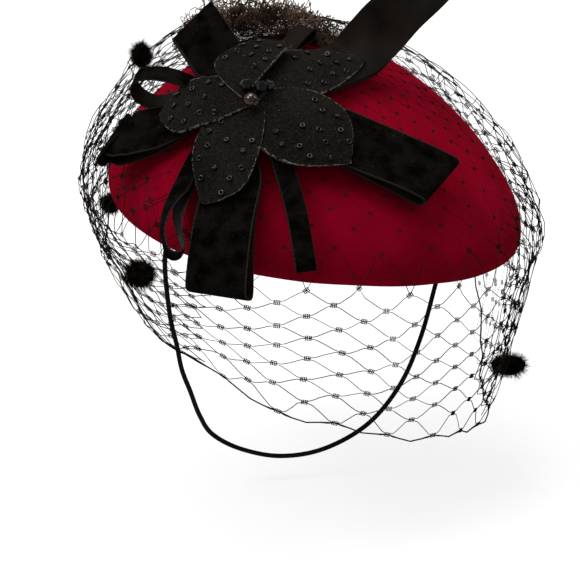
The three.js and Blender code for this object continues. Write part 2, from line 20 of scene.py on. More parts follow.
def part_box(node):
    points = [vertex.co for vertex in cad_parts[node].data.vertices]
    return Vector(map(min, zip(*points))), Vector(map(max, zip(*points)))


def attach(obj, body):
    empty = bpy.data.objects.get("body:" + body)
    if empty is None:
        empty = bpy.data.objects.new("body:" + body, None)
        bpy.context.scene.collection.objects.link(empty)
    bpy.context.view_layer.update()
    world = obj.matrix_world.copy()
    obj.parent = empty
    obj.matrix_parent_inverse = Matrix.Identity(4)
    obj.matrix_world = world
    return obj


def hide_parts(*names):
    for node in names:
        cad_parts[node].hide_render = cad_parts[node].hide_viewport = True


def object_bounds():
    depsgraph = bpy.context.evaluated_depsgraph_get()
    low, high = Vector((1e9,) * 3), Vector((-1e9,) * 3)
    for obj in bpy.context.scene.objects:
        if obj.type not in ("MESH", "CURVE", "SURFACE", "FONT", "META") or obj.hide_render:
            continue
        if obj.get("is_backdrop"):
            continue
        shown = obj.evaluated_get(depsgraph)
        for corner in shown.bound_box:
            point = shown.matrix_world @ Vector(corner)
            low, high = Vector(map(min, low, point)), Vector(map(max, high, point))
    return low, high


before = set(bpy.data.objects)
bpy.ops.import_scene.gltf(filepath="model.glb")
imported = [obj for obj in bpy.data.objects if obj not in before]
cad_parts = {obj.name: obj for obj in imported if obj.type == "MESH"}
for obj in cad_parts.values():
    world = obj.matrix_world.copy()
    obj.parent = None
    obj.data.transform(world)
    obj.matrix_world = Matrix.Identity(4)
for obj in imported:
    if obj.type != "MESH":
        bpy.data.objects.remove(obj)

LOG = logging.getLogger("fascinator")
BODY = "root"

# A length in millimetres times METRE is in metres; parts that touch lie GAP millimetres apart.
METRE = 0.001
GAP = 0.3

# The same net on each run.
NOISE_SEED = 4


Colour = tuple[float, float, float, float]
Socket = bpy.types.NodeSocket
# From a flat sheet's x and y, each -1 to 1, to a place in metres.
Surface = Callable[[float, float], Vector]


class Slot(Enum):
    """Material slot names; dress takes one but does not use it."""

    FELT = "felt"
    PETAL = "petal_felt"
    VELVET = "velvet"
    BEAD = "bead"
    NET = "net"
    CHENILLE = "chenille"
    ELASTIC = "elastic"


# ---- small helpers ------------------------------------------------------------------------------


def smooth(low: float, high: float, value: float) -> float:
    """Ease from 0 at low to 1 at high."""
    share = min(1.0, max(0.0, (value - low) / (high - low)))
    return share * share * (3 - 2 * share)


def activate(obj: bpy.types.Object) -> None:
    """Select one object alone and make it the active one."""
    bpy.ops.object.select_all(action="DESELECT")
    obj.select_set(True)
    bpy.context.view_layer.objects.active = obj


def edit(obj: bpy.types.Object, *steps: Callable[[], object]) -> None:
    """Run edit-mode operators on all of an object's mesh.

    Args:
        obj: The object to edit.
        steps: The operators, in order.
    """
    activate(obj)
    bpy.ops.object.mode_set(mode="EDIT")
    bpy.ops.mesh.select_all(action="SELECT")
    for step in steps:
        step()
    bpy.ops.object.mode_set(mode="OBJECT")


def primitive(add: Callable[..., object], **settings: object) -> bpy.types.Object:
    """Add a primitive with nothing else selected.

    Args:
        add: The operator that adds it.
        settings: The operator's settings.

    Returns:
        The new object.
    """
    bpy.ops.object.select_all(action="DESELECT")
    add(**settings)
    return bpy.context.object


def fix_place(obj: bpy.types.Object) -> None:
    """Move an object's place, turn and size into its mesh."""
    activate(obj)
    bpy.ops.object.transform_apply(location=True, rotation=True, scale=True)


def modify(obj: bpy.types.Object, kind: str, **settings: object) -> None:
    """Add a modifier and apply it.

    Args:
        obj: The object to change.
        kind: Blender's name of the modifier type.
        settings: The modifier's properties.
    """
    activate(obj)
    modifier = obj.modifiers.new(kind.lower(), kind)
    for name, value in settings.items():
        setattr(modifier, name, value)
    bpy.ops.object.modifier_apply(modifier=modifier.name)


def grid(name: str, columns: int, rows: int) -> bpy.types.Object:
    """A flat grid from -1 to 1 both ways, with a UV map from 0 to 1.

    Args:
        name: The piece's name.
        columns: Faces along X.
        rows: Faces along Y.

    Returns:
        The new object.
    """
    settings = {"x_subdivisions": columns, "y_subdivisions": rows, "size": 2}
    obj = primitive(bpy.ops.mesh.primitive_grid_add, **settings)
    obj.name = name
    return obj


def reshape(obj: bpy.types.Object, place: Surface) -> None:
    """Move each point of a flat grid to its place in the row frame.

    Args:
        obj: The grid.
        place: Gives the place, in metres, of a point from its x and y.
    """
    for vertex in obj.data.vertices:
        vertex.co = place(vertex.co.x, vertex.co.y)
    obj.data.update()


def shade_smooth(obj: bpy.types.Object, angle: float = 40.0) -> None:
    """Shade smoothly wherever faces meet at less than an angle in degrees."""
    activate(obj)
    bpy.ops.object.shade_smooth_by_angle(angle=math.radians(angle))


def recalculate(obj: bpy.types.Object) -> None:
    """Turn every face outwards."""
    edit(obj, lambda: bpy.ops.mesh.normals_make_consistent(inside=False))


def join(name: str, objects: Sequence[bpy.types.Object]) -> bpy.types.Object:
    """Join objects into one.

    Args:
        name: The joined piece's name.
        objects: What is joined; the first keeps its settings.

    Returns:
        The joined object.
    """
    activate(objects[0])
    for obj in objects[1:]:
        obj.select_set(True)
    if len(objects) > 1:
        bpy.ops.object.join()
    objects[0].name = name
    return objects[0]


def scatter(name: str, model: bpy.types.Object, places: Sequence[Matrix]) -> bpy.types.Object:
    """Copy a small model to many places in one mesh, and remove the model.

    Args:
        name: The new piece's name.
        model: What is repeated, modelled about the origin.
        places: A matrix for each copy.

    Returns:
        The object that holds all the copies.
    """
    count = len(model.data.vertices)
    base = np.empty(count * 3)
    model.data.vertices.foreach_get("co", base)
    base = np.c_[base.reshape(-1, 3), np.ones(count)]
    faces = [tuple(face.vertices) for face in model.data.polygons]
    points = np.vstack([base @ np.array(place.transposed())[:, :3] for place in places])
    every = [
        tuple(index + copy * count for index in face)
        for copy in range(len(places))
        for face in faces
    ]
    mesh = bpy.data.meshes.new(name)
    mesh.from_pydata(points.tolist(), [], every)
    obj = bpy.data.objects.new(name, mesh)
    bpy.context.scene.collection.objects.link(obj)
    bpy.data.objects.remove(model, do_unlink=True)
    return obj


def stand(place: Vector, up: Vector, size: Vector, turn: float = 0.0) -> Matrix:
    """A matrix that puts a model's Z along a direction.

    Args:
        place: Where its origin goes, in metres.
        up: The direction of its Z.
        size: Its scale along X, Y and Z.
        turn: Radians that it is turned about its own Z.

    Returns:
        The matrix.
    """
    turned = up.to_track_quat("Z", "Y").to_matrix().to_4x4() @ Matrix.Rotation(turn, 4, "Z")
    return Matrix.Translation(place) @ turned @ Matrix.Diagonal((*size, 1))


def node_copy(name: str, node: str) -> bpy.types.Object:
    """A merged copy of a CAD node's mesh, to be refined.

    Args:
        name: The copy's name.
        node: The node that is copied.

    Returns:
        The copy.
    """
    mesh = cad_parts[node].data.copy()
    mesh.materials.clear()
    obj = bpy.data.objects.new(name, mesh)
    bpy.context.scene.collection.objects.link(obj)
    edit(obj, lambda: bpy.ops.mesh.remove_doubles(threshold=0.00001))
    return obj


def dress(obj: bpy.types.Object, slot: Slot, *materials: bpy.types.Material) -> None:
    """Give a piece its materials.

    Args:
        obj: The piece.
        slot: Not used.
        materials: Its materials; with none given, it keeps what it has.
    """
    if materials:
        obj.data.materials.clear()
    for material in materials:
        obj.data.materials.append(material)


# ---- finishes -----------------------------------------------------------------------------------


class Graph:
    """A node tree that is being wired."""

    def __init__(self, tree: bpy.types.NodeTree, ends: bool = False) -> None:
        """Keep the tree.

        Args:
            tree: The tree.
            ends: Whether it is a group that needs its input and output nodes.
        """
        self.tree = tree
        self.source = self.add("NodeGroupInput") if ends else None
        self.result = self.add("NodeGroupOutput") if ends else None

    def add(self, kind: str, inputs: dict | None = None, **settings: object) -> bpy.types.Node:
        """Add a node.

        Args:
            kind: The node's type, without the leading ShaderNode.
            inputs: A value, or another node's socket, for each named input.
            settings: Properties of the node.

        Returns:
            The new node.
        """
        node = self.tree.nodes.new(kind if kind.startswith("Node") else f"ShaderNode{kind}")
        for name, value in settings.items():
            setattr(node, name, value)
        for name, value in (inputs or {}).items():
            if isinstance(value, Socket):
                self.link(value, node.inputs[name])
            else:
                node.inputs[name].default_value = value
        return node

    def link(self, value: Socket, socket: Socket) -> None:
        """Wire a value into a socket."""
        self.tree.links.new(value, socket)

    def ramp(self, value: Socket, low: float, high: float) -> Socket:
        """A mask that rises from 0 at low to 1 at high."""
        ends = {"Value": value, "From Min": low, "From Max": high}
        return self.add("MapRange", ends, interpolation_type="SMOOTHSTEP").outputs["Result"]

    def blend(self, share: Socket, first: object, second: object) -> Socket:
        """A colour between two, by a share."""
        return self.add("Mix", {0: share, 6: first, 7: second}, data_type="RGBA").outputs[2]

    def maths(self, operation: str, first: object, second: object = 0.0) -> Socket:
        """The result of a sum, product or the like of two values."""
        return self.add("Math", {0: first, 1: second}, operation=operation).outputs[0]

    def off_middle(self, value: Socket) -> Socket:
        """How far a value lies from a half."""
        return self.maths("ABSOLUTE", self.maths("SUBTRACT", value, 0.5))

    def speckle(self, where: Socket, scale: object, **inputs: object) -> Socket:
        """A noise pattern's value."""
        given = {"Vector": where, "Scale": scale, **inputs}
        return self.add("TexNoise", given).outputs["Fac"]

    def flat(self) -> dict[str, Socket]:
        """The UV map's coordinates, named X and Y."""
        where = self.add("UVMap", uv_map="UVMap").outputs[0]
        parts = self.add("SeparateXYZ", {0: where}).outputs
        return {"X": parts["X"], "Y": parts["Y"]}

    def group(self, tree: bpy.types.NodeTree, **inputs: object) -> Socket:
        """The result of a node group that is placed with its inputs."""
        return self.add("Group", inputs, node_tree=tree).outputs[0]


def open_group(name: str, inputs: dict[str, float], outputs: Iterable[str]) -> Graph:
    """Start a shader node group with named number inputs and outputs.

    Args:
        name: The group's name.
        inputs: Each input's name and usual value, after the Vector that every group takes.
        outputs: The outputs' names.

    Returns:
        The group's tree, with its input and output nodes made.
    """
    tree = bpy.data.node_groups.new(name, "ShaderNodeTree")
    tree.interface.new_socket("Vector", in_out="INPUT", socket_type="NodeSocketVector")
    for socket, value in inputs.items():
        made = tree.interface.new_socket(socket, in_out="INPUT", socket_type="NodeSocketFloat")
        made.default_value = value
    for socket in outputs:
        tree.interface.new_socket(socket, in_out="OUTPUT", socket_type="NodeSocketFloat")
    return Graph(tree, ends=True)


def fibre_group() -> bpy.types.NodeTree:
    """Matted fibres: short streaks that lie across each other in three directions.

    Returns:
        A group with Scale and Length in, Fibres out.
    """
    graph = open_group("fibres", {"Scale": 900.0, "Length": 6.0}, ["Fibres"])
    given = graph.source.outputs
    stretch = graph.add("CombineXYZ", {"X": 1.0, "Y": given["Length"], "Z": 2.0}).outputs[0]
    total = None
    for index, turn in enumerate((0.3, 1.4, 2.5)):
        angles = (turn, turn * 0.7, turn + index)
        turned = graph.add("Mapping", {"Vector": given["Vector"], "Rotation": angles}).outputs[0]
        drawn = graph.add("VectorMath", {0: turned, 1: stretch}, operation="MULTIPLY").outputs[0]
        streak = graph.speckle(drawn, given["Scale"], Detail=2.0)
        total = streak if total is None else graph.maths("MAXIMUM", total, streak)
    graph.link(graph.ramp(total, low=0.45, high=0.8), graph.result.inputs["Fibres"])
    return graph.tree


def lint_group() -> bpy.types.NodeTree:
    """Rare pale hairs and specks caught in a pile.

    Returns:
        A group with Scale and Rarity in, Lint out.
    """
    graph = open_group("lint", {"Scale": 260.0, "Rarity": 0.74}, ["Lint"])
    given = graph.source.outputs
    warp = graph.add("TexNoise", {"Vector": given["Vector"], "Scale": 90.0}).outputs["Color"]
    reach = (0.006, 0.006, 0.006)
    bent = graph.add(
        "VectorMath", {0: warp, 1: reach, 2: given["Vector"]}, operation="MULTIPLY_ADD"
    ).outputs[0]
    ridge = graph.off_middle(graph.speckle(bent, given["Scale"], Detail=0.0))
    line = graph.ramp(ridge, low=0.012, high=0.0)
    where = graph.speckle(given["Vector"], 420.0)
    ends = {"Value": where, "From Min": given["Rarity"], "From Max": 0.8}
    seen = graph.add("MapRange", ends).outputs[0]
    graph.link(graph.maths("MULTIPLY", line, seen), graph.result.inputs["Lint"])
    return graph.tree


def mottle_group() -> bpy.types.NodeTree:
    """Slow light and dark patches.

    Returns:
        A group with Scale in, Patches out.
    """
    graph = open_group("mottle", {"Scale": 40.0}, ["Patches"])
    given = graph.source.outputs
    patches = graph.speckle(given["Vector"], given["Scale"], Detail=4.0)
    graph.link(graph.ramp(patches, low=0.3, high=0.7), graph.result.inputs["Patches"])
    return graph.tree


@dataclass(frozen=True)
class SharedEffects:
    """The node groups that more than one finish uses."""

    fibres: bpy.types.NodeTree
    lint: bpy.types.NodeTree
    mottle: bpy.types.NodeTree


# What changes over a finish's surface: the shader's own inputs by name, and Height.
Painted = dict[str, Socket]


@dataclass(frozen=True)
class Finish:
    """A finish's name and the plain values that are the same all over it; depth in metres."""

    name: str
    roughness: float
    sheen: float = 0.0
    sheen_tint: Colour = (1.0, 1.0, 1.0, 1.0)
    specular: float = 0.5
    depth: float = 0.00003

    def build(self, shared: SharedEffects) -> bpy.types.Material:
        """Make the material.

        Args:
            shared: The node groups.

        Returns:
            The finish's material.
        """
        material = bpy.data.materials.new(self.name)
        material.use_nodes = True
        graph = Graph(material.node_tree)
        graph.tree.nodes.clear()
        plain = {
            "Roughness": self.roughness,
            "Sheen Weight": self.sheen,
            "Sheen Tint": self.sheen_tint,
            "Sheen Roughness": 0.4,
            "Specular IOR Level": self.specular,
        }
        shader = graph.add("BsdfPrincipled", plain)
        out = graph.add("OutputMaterial")
        graph.link(shader.outputs[0], out.inputs["Surface"])
        painted = self.paint(graph, shared)
        relief = {"Height": painted.pop("Height"), "Distance": self.depth, "Strength": 1.0}
        painted["Normal"] = graph.add("Bump", relief).outputs[0]
        for name, value in painted.items():
            graph.link(value, shader.inputs[name])
        return material

    def paint(self, graph: Graph, shared: SharedEffects) -> Painted:
        """Work out how the finish looks from place to place; each kind of finish has its own.

        Args:
            graph: The material's graph.
            shared: The node groups.

        Returns:
            What changes over the surface.
        """
        raise NotImplementedError


@dataclass(frozen=True)
class FeltFinish(Finish):
    """Matted wool felt with a soft nap; where edge is set, its cut edge has that colour."""

    dark: Colour = (0.105, 0.0002, 0.004, 1.0)
    light: Colour = (0.170, 0.0003, 0.009, 1.0)
    hair: Colour = (0.28, 0.001, 0.018, 1.0)
    edge: Colour | None = None
    matting: float = 0.45
    linty: float = 0.5
    depth: float = 0.00025

    def paint(self, graph: Graph, shared: SharedEffects) -> Painted:
        """Work out how the felt looks from place to place.

        Args:
            graph: The material's graph.
            shared: The node groups.

        Returns:
            What changes over the surface.
        """
        where = graph.add("TexCoord").outputs["Object"]
        fibres = graph.group(shared.fibres, Vector=where, Scale=700.0, Length=5.0)
        patches = graph.group(shared.mottle, Vector=where, Scale=38.0)
        colour = graph.blend(patches, self.dark, self.light)
        colour = graph.blend(graph.maths("MULTIPLY", fibres, self.matting), colour, self.hair)
        if self.edge:
            lint = graph.group(shared.lint, Vector=where, Rarity=0.6)
            colour = graph.blend(graph.maths("MULTIPLY", lint, self.linty), colour, self.edge)
            colour = graph.blend(self.raw_edge(graph, where), colour, self.edge)
        return {"Base Color": colour, "Height": fibres}

    def raw_edge(self, graph: Graph, where: Socket) -> Socket:
        """A broken, uneven line along the UV map's border.

        Args:
            graph: The material's graph.
            where: The Object coordinates.

        Returns:
            The line's mask.
        """
        uneven = graph.maths("MULTIPLY", graph.speckle(where, 900.0), 0.02)
        parts = graph.flat()
        borders = []
        for axis in ("X", "Y"):
            near = graph.maths("ADD", graph.off_middle(parts[axis]), uneven)
            borders.append(graph.ramp(near, low=0.502, high=0.509))
        unbroken = graph.ramp(graph.speckle(where, 650.0), low=0.42, high=0.6)
        return graph.maths("MULTIPLY", graph.maths("MAXIMUM", *borders), unbroken)


@dataclass(frozen=True)
class VelvetFinish(Finish):
    """Black velvet pile, brushed this way and that, with painted sheen and a woven selvage at both
    edges.

    The UV map's X runs across the ribbon and its Y along it.
    """

    dark: Colour = (0.0006, 0.0005, 0.0004, 1.0)
    brushed: Colour = (0.0026, 0.0023, 0.0018, 1.0)
    # Painted highlight: a lighter colour on the raised pile fibres, standing for the velvet's
    # sheen.
    pile_highlight: Colour = (0.012, 0.011, 0.0095, 1.0)
    lint: Colour = (0.05, 0.047, 0.042, 1.0)
    selvage: Colour = (0.012, 0.010, 0.009, 1.0)
    # How strongly the painted highlight shows on the raised pile fibres.
    pile_highlight_share: float = 0.7
    linty: float = 0.8
    shine: float = 0.45
    depth: float = 0.0003

    def paint(self, graph: Graph, shared: SharedEffects) -> Painted:
        """Work out how the velvet looks from place to place.

        Args:
            graph: The material's graph.
            shared: The node groups.

        Returns:
            What changes over the surface.
        """
        where = graph.add("TexCoord").outputs["Object"]
        patches = graph.group(shared.mottle, Vector=where, Scale=130.0)
        fibres = graph.group(shared.fibres, Vector=where, Scale=1500.0, Length=2.0)
        lint = graph.group(shared.lint, Vector=where, Rarity=0.56)
        colour = graph.blend(patches, self.dark, self.brushed)
        # Painted highlight: raised pile fibres within the lighter patches are painted lighter,
        # standing for the velvet's sheen.
        pile_highlight_share = graph.maths("MULTIPLY", fibres, patches)
        colour = graph.blend(graph.maths("MULTIPLY", pile_highlight_share, self.pile_highlight_share), colour, self.pile_highlight)
        colour = graph.blend(graph.maths("MULTIPLY", lint, self.linty), colour, self.lint)
        parts = graph.flat()
        edge = graph.ramp(graph.off_middle(parts["X"]), low=0.462, high=0.47)
        weave = {"Vector": parts["Y"], "Scale": 24.0, "Distortion": 0.6}
        stitches = graph.add("TexWave", weave).outputs["Fac"]
        colour = graph.blend(edge, colour, self.selvage)
        shine = graph.maths("MULTIPLY", edge, self.shine)
        rough = graph.maths("SUBTRACT", self.roughness, shine)
        ribs = graph.maths("MULTIPLY", stitches, edge)
        pile = graph.maths("MULTIPLY", fibres, graph.maths("SUBTRACT", 1.0, edge))
        height = graph.maths("ADD", ribs, pile)
        return {"Base Color": colour, "Roughness": rough, "Height": height}


@dataclass(frozen=True)
class SatinFinish(Finish):
    """The ribbon's satin back, with fine lines along it."""

    dark: Colour = (0.0030, 0.0020, 0.0013, 1.0)
    light: Colour = (0.0085, 0.0055, 0.0035, 1.0)
    depth: float = 0.00006

    def paint(self, graph: Graph, shared: SharedEffects) -> Painted:
        """Work out how the satin looks from place to place.

        Args:
            graph: The material's graph.
            shared: The node groups.

        Returns:
            What changes over the surface.
        """
        where = graph.add("TexCoord").outputs["Object"]
        weave = {"Vector": graph.flat()["X"], "Scale": 30.0, "Distortion": 1.5}
        patches = graph.group(shared.mottle, Vector=where, Scale=70.0)
        lines = graph.add("TexWave", weave).outputs["Fac"]
        return {"Base Color": graph.blend(patches, self.dark, self.light), "Height": lines}


@dataclass(frozen=True)
class ThreadFinish(Finish):
    """Dark thread, glass or chenille, with a slow change of colour and a fine grain."""

    dark: Colour = (0.0022, 0.0016, 0.0013, 1.0)
    light: Colour = (0.010, 0.0062, 0.0045, 1.0)
    patch: float = 120.0
    grain: float = 2500.0

    def paint(self, graph: Graph, shared: SharedEffects) -> Painted:
        """Work out how the thread looks from place to place.

        Args:
            graph: The material's graph.
            shared: The node groups.

        Returns:
            What changes over the surface.
        """
        where = graph.add("TexCoord").outputs["Object"]
        patches = graph.group(shared.mottle, Vector=where, Scale=self.patch)
        colour = graph.blend(patches, self.dark, self.light)
        return {"Base Color": colour, "Height": graph.speckle(where, self.grain)}


@dataclass(frozen=True)
class BraidFinish(Finish):
    """Round braided elastic: two sets of plaits that lean both ways, in radians."""

    dark: Colour = (0.0015, 0.0014, 0.0013, 1.0)
    light: Colour = (0.008, 0.0075, 0.007, 1.0)
    lean: float = 0.7
    linty: float = 0.3
    depth: float = 0.0002

    def paint(self, graph: Graph, shared: SharedEffects) -> Painted:
        """Work out how the braid looks from place to place.

        Args:
            graph: The material's graph.
            shared: The node groups.

        Returns:
            What changes over the surface.
        """
        where = graph.add("TexCoord").outputs["Object"]
        waves = []
        for lean in (self.lean, -self.lean):
            place = {"Vector": where, "Rotation": (0.0, lean, 0.0)}
            turned = graph.add("Mapping", place).outputs[0]
            bands = {"Vector": turned, "Scale": 260.0}
            waves.append(graph.add("TexWave", bands, bands_direction="Z").outputs["Fac"])
        plaits = graph.maths("MULTIPLY", *waves)
        lint = graph.group(shared.lint, Vector=where, Rarity=0.6)
        colour = graph.blend(plaits, self.dark, self.light)
        colour = graph.blend(graph.maths("MULTIPLY", lint, self.linty), colour, self.light)
        return {"Base Color": colour, "Height": plaits}


# ---- the crown's surface ------------------------------------------------------------------------


@dataclass
class Crown:
    """The felt crown's surface in the hat's frame, in millimetres, and how it is worn.

    The tilt is in degrees. Past drape_share of the way to the rim, what covers the crown falls
    straight, by drape_fall for the whole way. Felt within near_felt lies beneath a thread.
    """

    length: float = 208.0
    width: float = 165.0
    taper: float = 0.12
    sharpness: float = 0.05
    crown: float = 40.0
    arch_long: float = 22.0
    arch_wide: float = 3.5
    fullness: float = 2.0
    point_fullness: float = 1.6
    softness: float = 0.62
    apex: float = -20.0
    felt: float = 2.5
    drape_share: float = 0.86
    drape_fall: float = 71.0
    tilt: tuple[float, float, float] = (18.0, 9.5, -3.5)
    near_felt: float = 9.0
    rim_steps: int = 1440
    bearings: np.ndarray = field(init=False)
    turns: np.ndarray = field(init=False)
    matrix: Matrix = field(init=False)
    seat: Vector = field(init=False)

    def __post_init__(self) -> None:
        """Work out the rim's bearings once, the tilt's matrix and the point it turns about."""
        self.turns = np.linspace(-math.pi, math.pi, self.rim_steps + 1)
        rim = [self.rim(turn) for turn in self.turns]
        self.bearings = np.array([math.atan2(p.y, p.x - self.apex) for p in rim])
        self.bearings[0] = -math.pi
        self.bearings[-1] = math.pi
        angles = [math.radians(angle) for angle in self.tilt]
        self.matrix = Euler(angles, "XYZ").to_matrix()
        self.seat = Vector((self.apex, 0, self.crown - self.felt))

    def rim(self, turn: float) -> Vector:
        """The rim's point.

        Args:
            turn: The turn round the base in radians, 0 at the point.

        Returns:
            The place in the hat's frame.
        """
        c = math.cos(turn)
        u = self.length / 2 * c
        v = self.width / 2 * math.sin(turn)
        v *= 1 - self.taper * c - self.sharpness * math.cos(2 * turn)
        fall = self.arch_long * (2 * u / self.length) ** 2
        return Vector((u, v, -fall + self.arch_wide * (2 * v / self.width) ** 2))

    def height(self, rim_height: float, turn: float, share: float, crown: float) -> float:
        """Height of the dome.

        Args:
            rim_height: The rim's height at this turn.
            turn: The rim's turn, in radians.
            share: How far out toward the rim, from 0 to 1.
            crown: The dome's height at its apex.

        Returns:
            The height, in millimetres.
        """
        tip = ((1 + math.cos(turn)) / 2) ** 4
        power = self.fullness + (self.point_fullness - self.fullness) * tip
        return rim_height * share**2 + crown * max(0.0, 1 - share**power) ** self.softness

    def point(self, turn: float, share: float, inset: float = 0.0) -> Vector:
        """A place on the crown, or on the same crown shrunk by an inset.

        Args:
            turn: The rim's turn, in radians.
            share: How far out toward the rim, from 0 to 1.
            inset: How much smaller the crown is.

        Returns:
            The place in the hat's frame.
        """
        rim = self.rim(turn)
        size = math.hypot(rim.x - self.apex, rim.y)
        scale = share * (1 - inset / size)
        w = self.height(rim.z, turn, share, self.crown - inset)
        return Vector((self.apex + (rim.x - self.apex) * scale, rim.y * scale, w))

    def under(self, u: float, v: float) -> tuple[float, float, float]:
        """What lies under a place in the plan.

        Args:
            u: The place toward the point.
            v: The place toward the back.

        Returns:
            The rim's turn there, the share of the way to the rim, and the rim's height.
        """
        turn = float(np.interp(math.atan2(v, u - self.apex), self.bearings, self.turns))
        rim = self.rim(turn)
        share = math.hypot(u - self.apex, v) / math.hypot(rim.x - self.apex, rim.y)
        return turn, share, rim.z

    def cover_height(self, u: float, v: float) -> float:
        """Height of what lies on the crown: the crown, then straight on past the shoulder.

        Args:
            u: The place toward the point.
            v: The place toward the back.

        Returns:
            The height, in millimetres.
        """
        turn, share, rim_height = self.under(u, v)
        held = min(share, self.drape_share)
        fall = self.drape_fall * max(0.0, share - self.drape_share)
        return self.height(rim_height, turn, held, self.crown) - fall

    def cover(self, u: float, v: float, lift: float) -> Vector:
        """A place above the cover.

        Args:
            u: The place toward the point.
            v: The place toward the back.
            lift: How far above the cover, along its normal.

        Returns:
            The place in the hat's frame.
        """
        step = 0.5
        slope_u = self.cover_height(u + step, v) - self.cover_height(u - step, v)
        slope_v = self.cover_height(u, v + step) - self.cover_height(u, v - step)
        normal = Vector((-slope_u / (2 * step), -slope_v / (2 * step), 1)).normalized()
        return Vector((u, v, self.cover_height(u, v))) + normal * lift

    def worn(self, place: Vector) -> Vector:
        """A place of the hat's frame in the row frame, in metres."""
        return self.matrix @ (place - self.seat) * METRE

    def aim(self, direction: Vector) -> Vector:
        """A direction of the hat's frame in the row frame."""
        return (self.matrix @ direction).normalized()

    def beneath(self, place: Vector) -> bool:
        """Whether the felt lies close under a place.

        Args:
            place: The place in the row frame, in metres.

        Returns:
            Whether it is within near_felt above the felt, or below it.
        """
        here = self.matrix.transposed() @ (place / METRE) + self.seat
        turn, share, rim_height = self.under(here.x, here.y)
        dome = self.height(rim_height, turn, share, self.crown)
        return share < 1 and here.z < dome + self.near_felt


CROWN = Crown()


# ---- the felt base ------------------------------------------------------------------------------


@dataclass
class FeltBase:
    """The teardrop base, blocked from one piece of felt, with hairs in millimetres."""

    fuzz: int = 7000
    fuzz_length: float = 1.3
    fuzz_width: float = 0.07
    uneven: float = 0.4
    near_rim: float = 0.998
    seed: int = 5

    def build(self, felt: bpy.types.Material) -> None:
        """Round the blocked shape and raise its nap.

        Args:
            felt: The felt's material.
        """
        obj = node_copy("felt_crown", "felt_base")
        edit(obj, lambda: bpy.ops.mesh.tris_convert_to_quads())
        modify(obj, "SUBSURF", levels=2, render_levels=2)
        self.settle(obj)
        shade_smooth(obj, 60)
        dress(obj, Slot.FELT, felt)
        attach(obj, BODY)
        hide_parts("felt_base")
        nap = self.nap()
        dress(nap, Slot.FELT, felt)
        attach(nap, BODY)
        LOG.info("felt_crown and felt_nap made")

    def settle(self, obj: bpy.types.Object) -> None:
        """Give the surface the slight unevenness of hand blocking."""
        for vertex in obj.data.vertices:
            swell = noise.noise(vertex.co * 38) * self.uneven * METRE
            vertex.co += vertex.normal * swell

    def nap(self) -> bpy.types.Object:
        """Loose wool hairs that stand off the crown and the rim.

        Returns:
            The hairs as one mesh.
        """
        chance = random.Random(self.seed)
        places = []
        for _ in range(self.fuzz):
            turn = chance.uniform(-math.pi, math.pi)
            share = chance.random() ** 0.35 if chance.random() < 0.5 else chance.uniform(0.95, 1)
            here = CROWN.point(turn, min(share, self.near_rim))
            inner = CROWN.point(turn, max(0.0, share - 0.02))
            beside = CROWN.point(turn + 0.03, min(share, self.near_rim))
            out = (here - inner).cross(beside - here).normalized()
            lean = scattered(chance, 0.8) * 0.8
            length = self.fuzz_length * chance.uniform(0.4, 1.1)
            size = Vector((self.fuzz_width, self.fuzz_width, length)) * METRE
            places.append(stand(CROWN.worn(here), CROWN.aim(out + lean), size))
        return scatter("felt_nap", hair(), places)


def scattered(chance: random.Random, spread: float) -> Vector:
    """A random direction's three parts, each of a spread."""
    return Vector([chance.gauss(0, spread) for _ in range(3)])


def hair() -> bpy.types.Object:
    """A thin pointed hair, one unit high, that stands on the origin.

    Returns:
        The hair's model.
    """
    shape = {"vertices": 3, "radius1": 1.0, "radius2": 0.25, "depth": 1.0}
    model = primitive(bpy.ops.mesh.primitive_cone_add, location=(0, 0, 0.5), **shape)
    fix_place(model)
    return model


# ---- the flower ---------------------------------------------------------------------------------


@dataclass(frozen=True)
class Petal:
    """One petal's cut and place; angles in degrees, sizes in millimetres."""

    node: str
    aim: float
    length: float
    left: float
    right: float
    peak: float
    tip: float
    skew: float
    level: int
    bead_rows: tuple[int, ...]


